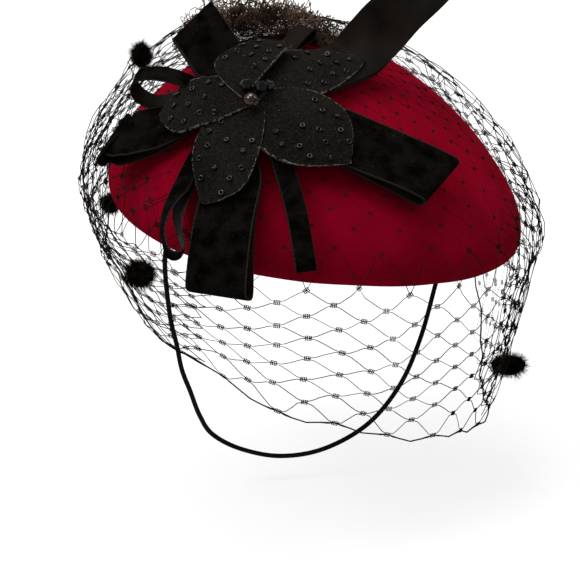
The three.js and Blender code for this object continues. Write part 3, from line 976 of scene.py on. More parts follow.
@dataclass
class Flower:
    """Five overlapping felt petals with sewn beads and a knot of larger beads.

    Sizes are in millimetres. The petals lie one on another to fade_from off the centre, and
    draw together over the next fade_over. Each ring bead is stretched along its hole by tall.
    The cut edges are uneven: cuts is how often, cut_depth how far as a share of the breadth.
    """

    u: float = -36.0
    v: float = -17.0
    seat: float = 7.0
    felt: float = 1.2
    root_past: float = 4.0
    root_power: float = 0.8
    fade_from: float = 30.0
    fade_over: float = 22.0
    petals: tuple[Petal, ...] = (
        Petal("petal_upper_right", 46, 66, 21, 12, 0.4, 1.05, 0, 0, (2, 3, 3, 3, 1)),
        Petal("petal_lower_right", -32, 51, 23.3, 19.3, 0.55, 1.05, 3, 1, (2, 3, 3, 3, 2)),
        Petal("petal_bottom", -127.5, 45.3, 19.6, 11.5, 0.63, 1.0, 19, 2, (2, 3, 2, 3, 2)),
        Petal("petal_left", 178, 37, 14.3, 14.9, 0.69, 1.0, 2, 3, (2, 3, 3, 3)),
        Petal("petal_top", 59, 37.5, 25.8, -3, 0.4, 0.4, 8, 4, (2, 3, 3, 2)),
    )
    ring: float = 1.0
    ring_wire: float = 0.47
    tall: float = 1.35
    first_row: float = 0.42
    columns: int = 26
    rows: int = 34
    cuts: float = 34.0
    cut_depth: float = 0.06
    fray: int = 420
    fray_width: float = 0.04
    fray_lengths: tuple[float, float] = (0.3, 0.9)
    seed: int = 11

    def place(self, petal: Petal, along: float, across: float, lift: float) -> Vector:
        """A point of a petal in the hat's frame.

        Args:
            petal: The petal.
            along: 0 at the root, 1 at the tip.
            across: -1 to 1 across the petal.
            lift: Height above its lower face.

        Returns:
            The point, in millimetres.
        """
        x = along * (petal.length + self.root_past) - self.root_past
        side = (across * (petal.left + petal.right) + petal.left - petal.right) / 2
        y = side * self.breadth(petal, along) + petal.skew * along**2
        aim = math.radians(petal.aim)
        u = self.u + x * math.cos(aim) - y * math.sin(aim)
        v = self.v + x * math.sin(aim) + y * math.cos(aim)
        drawn = smooth(self.fade_from, self.fade_from + self.fade_over, math.hypot(x, y))
        fade = 1 - 0.7 * drawn
        return CROWN.cover(u, v, self.seat + petal.level * (self.felt + GAP) * fade + lift)

    def breadth(self, petal: Petal, along: float) -> float:
        """The petal's breadth.

        Args:
            petal: The petal.
            along: 0 at the root, 1 at the tip.

        Returns:
            A share of its greatest breadth.
        """
        if along < petal.peak:
            return max(0.0, 1 - (1 - along / petal.peak) ** 2) ** self.root_power
        return max(0.0, 1 - ((along - petal.peak) / (1 - petal.peak)) ** 2) ** petal.tip

    def curl(self, petal: Petal, along: float, across: float) -> float:
        """How far the limp felt lifts or dips.

        Args:
            petal: The petal.
            along: 0 at the root, 1 at the tip.
            across: -1 to 1 across the petal.

        Returns:
            The lift, in millimetres.
        """
        ripple = math.sin(along * 7 + petal.level * 1.7) * across
        wave = 0.35 * ripple * smooth(0.4, 1.0, abs(across)) * smooth(0.3, 0.8, along)
        return wave + 0.25 * smooth(0.75, 1.0, along)

    def outline(self, turn: float) -> tuple[float, float]:
        """The part of a petal's edge that shows.

        Args:
            turn: 0 to 1 round the edge: up one side, over the tip and down the other.

        Returns:
            The place along and across.
        """
        side = 0.47
        if turn < side:
            return 0.3 + 0.68 * turn / side, -1.0
        if turn > 1 - side:
            return 0.3 + 0.68 * (1 - turn) / side, 1.0
        return 0.985, (turn - 0.5) / (0.5 - side)

    def leaf(self, petal: Petal) -> bpy.types.Object:
        """Cut and curl one petal.

        Args:
            petal: The petal.

        Returns:
            The petal, with no material yet.
        """
        piece = grid(petal.node.replace("petal", "leaf"), self.columns, self.rows)

        def point(x: float, y: float) -> Vector:
            """Where a point of the flat grid goes.

            Args:
                x: -1 to 1 across the petal.
                y: -1 to 1 from its root to its tip.

            Returns:
                The place, in metres.
            """
            along = 0.012 + 0.982 * (1 - math.cos(math.pi * (y + 1) / 2)) / 2
            seat = Vector((along * self.cuts, math.copysign(4, x), petal.level * 5))
            rough = noise.noise(seat) * self.cut_depth
            across = x * (1 + rough * smooth(0.75, 1.0, abs(x)))
            lift = self.felt + self.curl(petal, along, across)
            return CROWN.worn(self.place(petal, along, across, lift))

        reshape(piece, point)
        recalculate(piece)
        middle = piece.data.polygons[len(piece.data.polygons) // 2]
        if middle.normal.dot(CROWN.aim(Vector((0, 0, 1)))) < 0:
            piece.data.flip_normals()
        modify(
            piece, "SOLIDIFY", thickness=self.felt * METRE, offset=-1.0, use_even_offset=False
        )
        shade_smooth(piece, 45)
        return piece

    def fringe(self, petal: Petal, chance: random.Random) -> bpy.types.Object:
        """The loose fibres along one petal's cut edge.

        Args:
            petal: The petal.
            chance: Where the unevenness comes from.

        Returns:
            The fibres as one mesh.
        """
        hairs = []
        for _ in range(self.fray):
            along, across = self.outline(chance.random())
            lift = self.curl(petal, along, across) + self.felt * chance.uniform(0.3, 1.0)
            edge = self.place(petal, along, across, lift)
            inner = self.place(petal, along * 0.97, across * 0.9, lift)
            out = (edge - inner).normalized()
            lean = scattered(chance, 0.6)
            length = chance.uniform(*self.fray_lengths)
            size = Vector((self.fray_width, self.fray_width, length)) * METRE
            hairs.append(stand(CROWN.worn(edge), CROWN.aim(out + lean), size))
        return scatter(petal.node.replace("petal", "fray"), hair(), hairs)

    def sewn(self, petal: Petal, chance: random.Random) -> bpy.types.Object:
        """The small ring beads of one petal.

        Args:
            petal: The petal.
            chance: Where the uneven sewing comes from.

        Returns:
            The beads as one mesh.
        """
        model = primitive(
            bpy.ops.mesh.primitive_torus_add,
            major_segments=14,
            minor_segments=8,
            major_radius=self.ring * METRE,
            minor_radius=self.ring_wire * METRE,
        )
        places = []
        for along, across in self.stitches(petal):
            if self.covered(petal, along, across):
                continue
            lift = self.felt + self.curl(petal, along, across) + self.ring_wire
            here = self.place(petal, along, across, lift)
            above = self.place(petal, along, across, lift + 1) - here
            axis = CROWN.aim(above + scattered(chance, 0.4))
            places.append(stand(CROWN.worn(here), axis, Vector((1, 1, self.tall))))
        beads = scatter(petal.node.replace("petal", "seed_beads"), model, places)
        shade_smooth(beads, 80)
        return beads

    def stitches(self, petal: Petal) -> Iterable[tuple[float, float]]:
        """Where a petal's beads are sewn: spread rows that shift to and fro.

        Args:
            petal: The petal.

        Yields:
            The place along and across of each bead.
        """
        spread, shift = 0.62, 0.08
        for row, number in enumerate(petal.bead_rows):
            along = self.first_row + 0.5 * row / (len(petal.bead_rows) - 0.5)
            across = shift if row % 2 == 0 else -shift
            if number == 1:
                yield along, across
                continue
            for index in range(number):
                yield along, across + (-spread + 2 * spread * index / (number - 1))

    def covered(self, petal: Petal, along: float, across: float) -> bool:
        """Whether a higher petal lies over a point of a petal."""
        here = self.place(petal, along, across, 0)
        above = [other for other in self.petals if other.level > petal.level]
        return any(self.inside(other, here) for other in above)

    def inside(self, petal: Petal, here: Vector) -> bool:
        """Whether a bead at a place would touch a petal's outline, seen from above.

        Args:
            petal: The petal.
            here: The place in the hat's frame.

        Returns:
            Whether it lies within, or less than a bead outside.
        """
        aim = math.radians(petal.aim)
        du, dv = here.x - self.u, here.y - self.v
        x = du * math.cos(aim) + dv * math.sin(aim)
        y = dv * math.cos(aim) - du * math.sin(aim)
        along = (x + self.root_past) / (petal.length + self.root_past)
        if not 0 < along < 1:
            return False
        bead = self.ring + self.ring_wire
        broad = self.breadth(petal, along)
        beside = y - petal.skew * along**2
        return -petal.right * broad - bead < beside < petal.left * broad + bead

    def build(
        self,
        felt: bpy.types.Material,
        fray: bpy.types.Material,
        glass: bpy.types.Material,
        smoky: bpy.types.Material,
    ) -> None:
        """Build all the petals and the centre.

        Args:
            felt: The petals' felt.
            fray: The pale raw fibres.
            glass: The beads' glass.
            smoky: The round bead's brown glass.
        """
        for petal in self.petals:
            chance = random.Random(self.seed + petal.level)
            leaf = self.leaf(petal)
            dress(leaf, Slot.PETAL, felt)
            fringe = self.fringe(petal, chance)
            dress(fringe, Slot.PETAL, fray)
            beads = self.sewn(petal, chance)
            dress(beads, Slot.BEAD, glass)
            for piece in (leaf, fringe, beads):
                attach(piece, BODY)
            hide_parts(petal.node)
            LOG.info("%s made with its fray and beads", leaf.name)
        CentreBeads().build(glass, smoky)


@dataclass(frozen=True)
class CentreBead:
    """One bead: its node, its lean in radians and its shift off the node in millimetres."""

    node: str
    lean: float
    shift: tuple[float, float, float]
    swell: float
    round: bool = False


@dataclass
class CentreBeads:
    """The round bead and the faceted beads at the flower's middle.

    The flat ends, the dimples and the bevel are shares of a bead's radius.
    """

    sides: int = 7
    flat_end: float = 0.82
    dimple: float = 0.25
    bevel: float = 0.04
    beads: tuple[CentreBead, ...] = (
        CentreBead("round_bead", 1.57, (0.0, -0.9, -3.0), 1.0, True),
        CentreBead("faceted_bead_1", 0.95, (0.0, -2.4, -1.6), 1.1),
        CentreBead("faceted_bead_2", 1.15, (-1.0, -0.4, -2.3), 1.12),
        CentreBead("faceted_bead_3", 1.45, (-3.9, 7.2, -1.9), 1.1),
    )

    def build(self, glass: bpy.types.Material, smoky: bpy.types.Material) -> None:
        """Cut and place the four beads.

        Args:
            glass: The faceted beads' black glass.
            smoky: The round bead's brown glass.
        """
        for bead in self.beads:
            low, high = (Vector(corner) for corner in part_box(bead.node))
            radius = max(high - low) / 2 * bead.swell
            piece = self.round(radius) if bead.round else self.faceted(radius)
            piece.name = bead.node.replace("bead", "jet")
            lean = Matrix.Rotation(bead.lean, 4, Vector((1, bead.lean - 0.6, 0)))
            middle = (low + high) / 2 + Vector(bead.shift) * METRE
            piece.data.transform(Matrix.Translation(middle) @ lean)
            dress(piece, Slot.BEAD, smoky if bead.round else glass)
            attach(piece, BODY)
            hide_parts(bead.node)
            LOG.info("%s made", piece.name)

    def round(self, radius: float) -> bpy.types.Object:
        """A smooth ball with a drilled hole's dimple at each end.

        Args:
            radius: The ball's radius, in metres.

        Returns:
            The ball, about the origin.
        """
        shape = {"segments": 32, "ring_count": 20, "radius": radius}
        ball = primitive(bpy.ops.mesh.primitive_uv_sphere_add, **shape)
        for vertex in ball.data.vertices:
            near = smooth(0.9, 1.0, abs(vertex.co.z) / radius)
            vertex.co.z *= 1 - self.dimple * near
        shade_smooth(ball, 60)
        return ball

    def faceted(self, radius: float) -> bpy.types.Object:
        """A fire-polished bead: a flat-sided barrel with sloping facets at both ends.

        Args:
            radius: The bead's radius, in metres.

        Returns:
            The bead, about the origin.
        """
        shape = {"segments": self.sides, "ring_count": 4, "radius": radius}
        bead = primitive(bpy.ops.mesh.primitive_uv_sphere_add, **shape)
        end = self.flat_end * radius
        for vertex in bead.data.vertices:
            vertex.co.z = max(-end, min(end, vertex.co.z))
        modify(bead, "BEVEL", width=radius * self.bevel, segments=2, limit_method="ANGLE")
        shade_smooth(bead, 12)
        return bead


# ---- the ribbon ---------------------------------------------------------------------------------


@dataclass(frozen=True)
class Loop:
    """One ribbon loop; bearings in degrees at the flower, sizes in millimetres.

    It climbs by rise and rolls by lean, in degrees, from start to reach. Slant sets one corner
    of the fold ahead, as a share of half the width; stagger shifts the upper layer sideways.
    """

    node: str
    width: float
    pinch: float
    root: float
    end: float
    reach: float
    slant: float
    puff: float
    start: float
    rise: float
    lean: float
    satin_up: bool = False
    stagger: float = 0.0


@dataclass(frozen=True)
class Station:
    """A place on a loop's middle line, with its three directions and the ribbon's width there."""

    middle: Vector
    run: Vector
    across: Vector
    stack: Vector
    width: float


@dataclass
class RibbonLoops:
    """Wide and narrow velvet ribbon loops that fan out from under the flower.

    Sizes are in millimetres: layer is the room that one layer takes, ribbon its own thickness.
    """

    veil: "Veil"
    layer: float = 1.1
    ribbon: float = 0.8
    root_radius: float = 15.0
    root_height: float = 0.3
    over_net: float = 0.9
    clear_from: float = 24.0
    full_from: float = 40.0
    columns: int = 22
    stations: int = 40
    fold_steps: int = 10
    limp: int = 4
    roll_over: float = 20.0
    ruck: float = 0.25
    pleat: float = 0.25
    welt: float = 0.12
    loops: tuple[Loop, ...] = (
        Loop("wide_loop_bottom", 28.5, 8, -97, -90, 82.5, 0.14, 4, 50, 1, 0, stagger=2.5),
        Loop("wide_loop_left", 27, 8, 185, 183, 58.5, 0.42, 6, 38, 1, 0, stagger=1.5),
        Loop("wide_loop_upper_left", 27, 8, 121, 117, 61, -0.3, 5, 36, 17, 0),
        Loop("wide_loop_upper_right", 28, 8, 48, 52.5, 98, 0, 5, 64, 38, 58, True),
        Loop("wide_loop_right", 34.5, 8, -14, -7, 88.5, 0.42, 4, 50, 2, 0, stagger=-1.5),
        Loop("narrow_loop_upper_left", 9.5, 6, 150, 157, 56, 0, 18, 26, 0, 0),
        Loop("narrow_loop_lower_left", 9.5, 5, 216, 259, 69, 0, 8, 44, 0, 60),
        Loop("narrow_loop_bottom", 9.5, 6, -60, -64, 79, 0, 4, 40, 1, 0),
        Loop("narrow_loop_back", 9.5, 6, 84, 74, 66, 0, 5, 50, 1, 0, True),
    )

    def place(self, loop: Loop, reach: float) -> Vector:
        """A point of the loop's middle line.

        Args:
            loop: The loop.
            reach: Distance from the flower's centre.

        Returns:
            The point in the hat's frame.
        """
        share = (reach - self.root_radius) / (loop.reach - self.root_radius)
        bearing = math.radians(loop.root + (loop.end - loop.root) * share)
        u = self.veil.flower.u + math.cos(bearing) * reach
        v = self.veil.flower.v + math.sin(bearing) * reach
        climb = loop.rise * max(0.0, (reach - loop.start) / (loop.reach - loop.start)) ** 1.4
        turn, under, _ = CROWN.under(u, v)
        over_net = self.veil.lift(turn, min(1.0, under)) + self.over_net
        settled = smooth(self.root_radius, self.clear_from, reach)
        lie = self.root_height + (over_net - self.root_height) * settled
        return CROWN.cover(u, v, lie + climb)

    def station(self, loop: Loop, reach: float) -> Station:
        """How the ribbon lies at a distance.

        Args:
            loop: The loop.
            reach: Distance from the flower's centre.

        Returns:
            The station there.
        """
        middle = self.place(loop, reach)
        run = (self.place(loop, reach + 0.5) - self.place(loop, reach - 0.5)).normalized()
        upright = CROWN.cover(middle.x, middle.y, 1) - CROWN.cover(middle.x, middle.y, 0)
        across = upright.normalized().cross(run).normalized()
        turned = smooth(loop.start, loop.start + self.roll_over, reach)
        roll = math.radians(loop.lean) * turned
        across.rotate(Matrix.Rotation(roll, 3, run))
        stack = run.cross(across).normalized()
        opened = smooth(self.root_radius, self.full_from, reach)
        width = loop.pinch + (loop.width - loop.pinch) * opened
        middle = middle + upright.normalized() * (width / 2 * abs(math.sin(roll)))
        return Station(middle, run, across, stack, width)

    def build_loop(
        self, loop: Loop, velvet: bpy.types.Material, satin: bpy.types.Material
    ) -> None:
        """Fold one ribbon.

        Args:
            loop: The loop.
            velvet: The pile side.
            satin: The back.
        """
        half = self.layer / 2
        fold = loop.reach - loop.puff / 2
        closed = self.layer + GAP
        arc = math.pi * loop.puff / 2
        straight = fold - self.root_radius
        total = 2 * straight + arc
        known: dict[float, Station] = {}

        def point(x: float, y: float) -> Vector:
            """Where a point of the flat ribbon goes.

            Args:
                x: -1 to 1 across the ribbon.
                y: -1 to 1 along it.

            Returns:
                The place, in metres.
            """
            run_length = (y + 1) / 2 * total
            side = math.copysign(abs(x) ** 0.8, x)
            bulge = 0.0
            if run_length < straight:
                distance, offset = self.root_radius + run_length, 0.0
            elif run_length > straight + arc:
                distance = self.root_radius + total - run_length
                opening = smooth(loop.start - 10, fold, distance)
                offset = closed + (loop.puff - closed) * opening
            else:
                angle = (run_length - straight) / arc * math.pi
                distance = fold
                offset = loop.puff / 2 * (1 - math.cos(angle))
                bulge = loop.puff / 2 * math.sin(angle)
            key = round(distance, 5)
            if key not in known:
                known[key] = self.station(loop, distance)
            at = known[key]
            ruck = noise.noise(Vector((run_length * 0.05, side, loop.reach))) * self.ruck
            gathered = 1 - smooth(self.root_radius, self.full_from, distance)
            pleat = math.cos(side * math.pi * 2.5) * self.pleat * gathered
            welt = self.welt * smooth(0.93, 0.97, abs(side))
            ahead = side * loop.slant * at.width / 2 * smooth(30, loop.reach, distance)
            under = 1 - min(1.0, offset / loop.puff) if distance > self.full_from else 0.0
            shift = loop.stagger * under * smooth(self.full_from, fold, distance)
            place = at.middle + at.stack * (offset + half + ruck + pleat + welt)
            beside = at.across * (side * at.width / 2 + shift)
            return CROWN.worn(place + beside + at.run * (bulge + ahead))

        rows = 2 * self.stations + self.fold_steps
        piece = grid(loop.node.replace("loop", "ribbon"), self.columns, rows)
        reshape(piece, point)
        modify(piece, "SMOOTH", factor=0.5, iterations=self.limp)
        piece.data.materials.append(velvet)
        piece.data.materials.append(satin)
        self.face_out(piece, loop)
        wall = {"thickness": self.ribbon * METRE, "offset": 0.0, "use_even_offset": False}
        modify(piece, "SOLIDIFY", material_offset=1, material_offset_rim=0, **wall)
        shade_smooth(piece, 50)
        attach(piece, BODY)
        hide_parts(loop.node)
        LOG.info("%s made", piece.name)

    def face_out(self, piece: bpy.types.Object, loop: Loop) -> None:
        """Turn the velvet to the loop's outside, or its satin where that shows.

        Args:
            piece: The flat, open ribbon after folding.
            loop: The loop.
        """
        near_fold = self.station(loop, loop.reach - loop.puff)
        above = CROWN.worn(near_fold.middle + near_fold.stack * loop.puff)
        top = min(piece.data.polygons, key=lambda face: (face.center - above).length)
        outward = top.normal.dot(CROWN.aim(near_fold.stack)) > 0
        if outward == loop.satin_up:
            piece.data.flip_normals()

    def build(self, velvet: bpy.types.Material, satin: bpy.types.Material) -> None:
        """Build all the loops.

        Args:
            velvet: The pile side.
            satin: The back.
        """
        for loop in self.loops:
            self.build_loop(loop, velvet, satin)


# ---- the veil -----------------------------------------------------------------------------------


@dataclass(frozen=True)
class VeilSection:
    """How the net hangs at one turn of the rim, in degrees, and then in millimetres.

    Past is how far it stands off the rim, drop how far it falls below, flare how far it swings
    out on the way.
    """

    turn: float
    past: float
    drop: float
    flare: float


@dataclass
class Veil:
    """Diamond net that covers the crown and hangs over the face, with its knots and selvage.

    Its columns run out from the pole, behind the flower, so the net is a funnel gathered there.
    """

    flower: Flower
    lift_on_crown: float = 2.6
    belly: float = 4.0
    sections: tuple[VeilSection, ...] = (
        VeilSection(-180, 12, 20, -14),
        VeilSection(-150, 9, 24, -4),
        VeilSection(-120, 7, 44, 4),
        VeilSection(-90, 6, 65, 6),
        VeilSection(-60, 6, 77, 4),
        VeilSection(-30, 8, 84, -10),
        VeilSection(0, 10, 78, -28),
        VeilSection(45, 12, 46, -22),
        VeilSection(90, 10, 24, -8),
        VeilSection(135, 20, 22, -10),
    )
    pole: tuple[float, float] = (-32.0, 56.0)
    pole_radius: float = 7.0
    columns: int = 28
    crown_rows: int = 9
    hang_rows: int = 6
    strand: float = 0.42
    selvage: float = 0.75
    slack: float = 0.5
    stray_turn: float = 0.05
    stray_row: float = 0.35
    seed: int = 3

    def section(self, column: str, turn: float) -> float:
        """A value of the sections, eased between them.

        Args:
            column: The value's name.
            turn: The rim's turn, in degrees.

        Returns:
            The value there, in millimetres.
        """
        count = len(self.sections)
        angle = (turn + 540) % 360 - 180
        row = max(i for i, s in enumerate(self.sections) if s.turn <= angle)
        here, following = self.sections[row], self.sections[(row + 1) % count]
        span = (following.turn - here.turn + 360) % 360
        eased = (1 - math.cos(math.pi * (angle - here.turn) / span)) / 2
        first, second = getattr(here, column), getattr(following, column)
        return first + (second - first) * eased

    def lift(self, turn: float, share: float) -> float:
        """How far the net stands off the felt.

        Args:
            turn: The rim's turn, in radians.
            share: How far out toward the rim, from 0 to 1.

        Returns:
            The distance, in millimetres.
        """
        past = self.section("past", math.degrees(turn))
        return self.lift_on_crown + (past - self.lift_on_crown) * smooth(0.7, 1.0, share)

    def on_crown(self, u: float, v: float, more: float = 0.0) -> Vector:
        """A point of the crown's net in the hat's frame.

        Args:
            u: The place toward the point.
            v: The place toward the back.
            more: How much further off the felt than the net's own lift.

        Returns:
            The point, in millimetres.
        """
        turn, share, _ = CROWN.under(u, v)
        held = min(share, 1.0)
        here = CROWN.point(turn, held)
        down = Vector((0, 0, -1))
        if held < 0.999:
            down = here - CROWN.point(turn, max(0.0, held - 0.002 - 0.2 * (1 - held)))
        beside = max(held, 0.05)
        sideways = CROWN.point(turn + 0.05, beside) - CROWN.point(turn - 0.05, beside)
        return here + down.cross(sideways).normalized() * (self.lift(turn, held) + more)

    def hanging(self, turn: float, share: float, more: float = 0.0) -> Vector:
        """A point of the net below the rim in the row frame.

        Args:
            turn: The rim's turn, in radians.
            share: 0 at the rim, 1 at the lower edge.
            more: How much further out than the net's own place.

        Returns:
            The point, in metres.
        """
        rim = CROWN.rim(turn)
        top = CROWN.worn(self.on_crown(rim.x, rim.y))
        outward = Vector((top.x, top.y, 0)).normalized()
        angle = math.degrees(turn)
        out = self.section("flare", angle) * share + self.belly * math.sin(math.pi * share) + more
        fall = self.section("drop", angle) * share
        return top + (outward * out + Vector((0, 0, -fall))) * METRE

    def place(self, turn: float, row: float, more: float = 0.0) -> Vector:
        """A point of the net in the row frame.

        Args:
            turn: The rim's turn that its column crosses, in radians.
            row: 0 at the pole, crown_rows at the rim, then down to the lower edge.
            more: How much further out than the net's own place, in millimetres.

        Returns:
            The point, in metres.
        """
        if row > self.crown_rows:
            return self.hanging(turn, (row - self.crown_rows) / self.hang_rows, more)
        rim = CROWN.rim(turn)
        way = math.hypot(rim.x - self.pole[0], rim.y - self.pole[1])
        share = row / self.crown_rows
        share = self.pole_radius / way + (1 - self.pole_radius / way) * share
        u = self.pole[0] + (rim.x - self.pole[0]) * share
        v = self.pole[1] + (rim.y - self.pole[1]) * share
        return CROWN.worn(self.on_crown(u, v, more * smooth(0.5, 1.0, share)))

    def build(self, thread: bpy.types.Material) -> None:
        """Knot the net, bunch its loose folds and run the selvage along its edge.

        Args:
            thread: The net's thread.
        """
        rows = self.crown_rows + self.hang_rows

        def point(x: float, y: float) -> Vector:
            """Where a point of the flat net goes, with its edge drawn almost straight.

            Args:
                x: -1 to 1 round the rim.
                y: -1 to 1 from the pole to the lower edge.

            Returns:
                The place, in metres.
            """
            level = (y + 1) / 2 * rows
            level += 0.3 * smooth(rows - 1, rows - 0.5, level) * smooth(rows, rows - 0.5, level)
            seat = Vector((math.cos(x * math.pi) * 2.4, math.sin(x * math.pi) * 2.4, level * 0.3))
            uneven = noise.noise_vector(seat)
            inner = smooth(rows, rows - 2, level)
            turn = x * math.pi + uneven.x * self.stray_turn * inner
            return self.place(turn, level + uneven.y * self.stray_row * inner, uneven.z)

        cells = Lattice(self.columns, rows, self.strand, self.slack, self.seed)
        net = cells.weave("veil_strands", point)
        knots = cells.tie("veil_knots", point)
        border = self.hem()
        pieces = [net, knots, border]
        for fold in NET_FOLDS:
            pieces += fold.build(self)
        for piece in pieces:
            dress(piece, Slot.NET, thread)
            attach(piece, BODY)
        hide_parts("veil_net")
        LOG.info("veil made of %d meshes", len(pieces))

    def hem(self) -> bpy.types.Object:
        """The thicker cord along the net's lower edge, drawn up a little at each column's middle.

        Returns:
            The cord as a mesh.
        """
        rows = self.crown_rows + self.hang_rows
        steps = 4 * self.columns
        line = []
        for step in range(steps):
            drawn_up = 0.1 * (2 - abs(step % 4 - 2))
            line.append(self.place((2 * step / steps - 1) * math.pi, rows - drawn_up))
        return ring_cord("veil_selvage", line, self.selvage / 2 * METRE)


def curve_along(name: str, line: Sequence[Vector]) -> bpy.types.Object:
    """A curve through points.

    Args:
        name: The piece's name.
        line: The points, in metres.

    Returns:
        The curve's object, with one spline.
    """
    curve = bpy.data.curves.new(name, "CURVE")
    curve.dimensions = "3D"
    spline = curve.splines.new("POLY")
    spline.points.add(len(line) - 1)
    for point, place in zip(spline.points, line):
        point.co = (*place, 1)
    obj = bpy.data.objects.new(name, curve)
    bpy.context.scene.collection.objects.link(obj)
    return obj


def ring_cord(name: str, line: Sequence[Vector], radius: float) -> bpy.types.Object:
    """A thin round ring along a line, as a mesh.

    Args:
        name: The piece's name.
        line: The points that it follows and returns to, in metres.
        radius: Its radius, in metres.

    Returns:
        The ring.
    """
    obj = curve_along(name, line)
    obj.data.splines[0].use_cyclic_u = True
    return thicken(obj, radius, 1)


def thicken(obj: bpy.types.Object, radius: float, resolution: int) -> bpy.types.Object:
    """Give a curve object a round section and make it a mesh.

    Args:
        obj: The curve object.
        radius: The section's radius, in metres.
        resolution: Blender's bevel resolution, 0 for four sides.

    Returns:
        The same object, now a mesh.
    """
    obj.data.bevel_depth = radius
    obj.data.bevel_resolution = resolution
    obj.data.use_fill_caps = True
    activate(obj)
    bpy.ops.object.convert(target="MESH")
    shade_smooth(bpy.context.object, 80)
    return bpy.context.object


@dataclass
class Lattice:
    """Diamond netting: thread between knots that shift by half a column from row to row.

    Sizes are in millimetres. A knot has its full size where its cell is as wide and as high as
    open_cell. Over the felt, knots are smaller by the share tight and threads by on_felt. Bars
    and rails are the knot's whippings, as shares of its size.
    """

    columns: int
    rows: int
    strand: float
    slack: float
    seed: int
    ease: float = 0.9
    cuts: int = 3
    knot_width: float = 2.9
    knot_height: float = 2.3
    open_cell: tuple[float, float] = (9.0, 6.0)
    tight: float = 0.68
    on_felt: float = 0.38
    bar_step: float = 0.29
    bar_radius: float = 0.085
    rail_off: float = 0.45
    rail_length: float = 0.9
    rail_radius: float = 0.055
    sample: float = 0.15

    def weave(self, name: str, place: Surface) -> bpy.types.Object:
        """Make the threads.

        Args:
            name: The piece's name.
            place: Gives the place, in metres, of a point of the flat net from its x and y.

        Returns:
            The threads as one mesh.
        """
        obj = grid(name, self.columns, self.rows)
        edit(obj, bpy.ops.mesh.poke)
        self.keep_diagonals(obj)
        reshape(obj, lambda x, y: self.bend(x, y, place))
        edit(obj, lambda: bpy.ops.mesh.remove_doubles(threshold=0.0001))
        activate(obj)
        bpy.ops.object.convert(target="CURVE")
        curve = bpy.context.object
        for spline in curve.data.splines:
            for point in spline.points:
                if CROWN.beneath(point.co.xyz):
                    point.radius = self.on_felt
        return thicken(curve, self.strand / 2 * METRE, 0)

    def keep_diagonals(self, obj: bpy.types.Object) -> None:
        """Leave only the threads of a poked grid, and cut each into short lengths.

        Args:
            obj: The poked grid; the edges of its squares go, the diagonals stay.
        """
        activate(obj)
        bpy.ops.object.mode_set(mode="EDIT")
        bpy.ops.mesh.select_mode(type="EDGE")
        bpy.ops.mesh.select_all(action="DESELECT")
        bpy.ops.object.mode_set(mode="OBJECT")
        points = obj.data.vertices
        for edge in obj.data.edges:
            run = points[edge.vertices[0]].co - points[edge.vertices[1]].co
            edge.select = min(abs(run.x), abs(run.y)) < 1e-5
        bpy.ops.object.mode_set(mode="EDIT")
        bpy.ops.mesh.delete(type="EDGE")
        bpy.ops.mesh.select_all(action="SELECT")
        bpy.ops.mesh.subdivide(number_cuts=self.cuts)
        bpy.ops.mesh.select_mode(type="VERT")
        bpy.ops.object.mode_set(mode="OBJECT")

    def bend(self, x: float, y: float, place: Surface) -> Vector:
        """Where a point of a thread goes: it leaves its knots sideways and hangs a little slack.

        Args:
            x: The point across the flat net, from -1 to 1.
            y: The point down the flat net, from -1 to 1.
            place: The net's surface.

        Returns:
            The place, in metres.
        """
        across, down = (x + 1) * self.columns, (y + 1) * self.rows
        row = math.floor(down + 1e-4)
        share = max(0.0, down - row)
        if row >= 2 * self.rows - 1:
            return place(x, y)
        level = row + share + (smooth(0, 1, share) - share) * self.ease
        cell = Vector((math.floor(across) + 0.5, row + 0.5, self.seed + 0.5))
        bow = (noise.cell_vector(cell) * 2 - Vector((1, 1, 1))) * math.sin(math.pi * share)
        return place(x, level / self.rows - 1) + bow * self.slack * METRE

    def tie(self, name: str, place: Surface) -> bpy.types.Object:
        """Make the knots: four whippings side by side between two thin rails.

        Args:
            name: The piece's name.
            place: Gives the place, in metres, of a point of the flat net from its x and y.

        Returns:
            The knots as one mesh.
        """
        places = []
        for x, y in self.knots():
            here = place(x, y)
            side = place(x + 2 * self.sample / self.columns, y) - here
            down = place(x, y + 2 * self.sample / self.rows) - here
            wide, high = (way.length / self.sample / METRE for way in (side, down))
            size = min(1.0, wide / self.open_cell[0], high / self.open_cell[1]) * METRE
            if CROWN.beneath(here):
                size *= self.tight
            run = side.normalized()
            fall = (down - run * down.dot(run)).normalized()
            turned = Matrix((run, run.cross(fall) * -1, fall)).transposed().to_4x4()
            across, tall = self.knot_width * size, self.knot_height * size
            scale = Matrix.Diagonal((across, across, tall, 1))
            places.append(Matrix.Translation(here) @ turned @ scale)
        return scatter(name, self.knot(), places)

    def knot(self) -> bpy.types.Object:
        """One knot, about one unit across.

        Returns:
            Four upright bars and a rail across each end.
        """
        first = -1.5 * self.bar_step
        whippings = [
            (self.bar_radius, 1.0, (first + self.bar_step * step, 0, 0), 0.0) for step in range(4)
        ]
        whippings += [
            (self.rail_radius, self.rail_length, (0, 0, self.rail_off * end), math.pi / 2)
            for end in (-1, 1)
        ]
        parts = []
        for radius, depth, location, turn in whippings:
            shape = {"vertices": 4, "radius": radius, "depth": depth, "location": location}
            part = primitive(
                bpy.ops.mesh.primitive_cylinder_add, rotation=(0, turn, 0), **shape
            )
            fix_place(part)
            parts.append(part)
        return join("knot", parts)

    def knots(self) -> Iterable[tuple[float, float]]:
        """The flat places of the knots, from -1 to 1 both ways."""
        for row in range(1, 2 * self.rows):
            for column in range(self.columns):
                shift = 0.5 if row % 2 else 0.0
                x = -1 + 2 * (column + shift) / self.columns
                yield x, -1 + row / self.rows


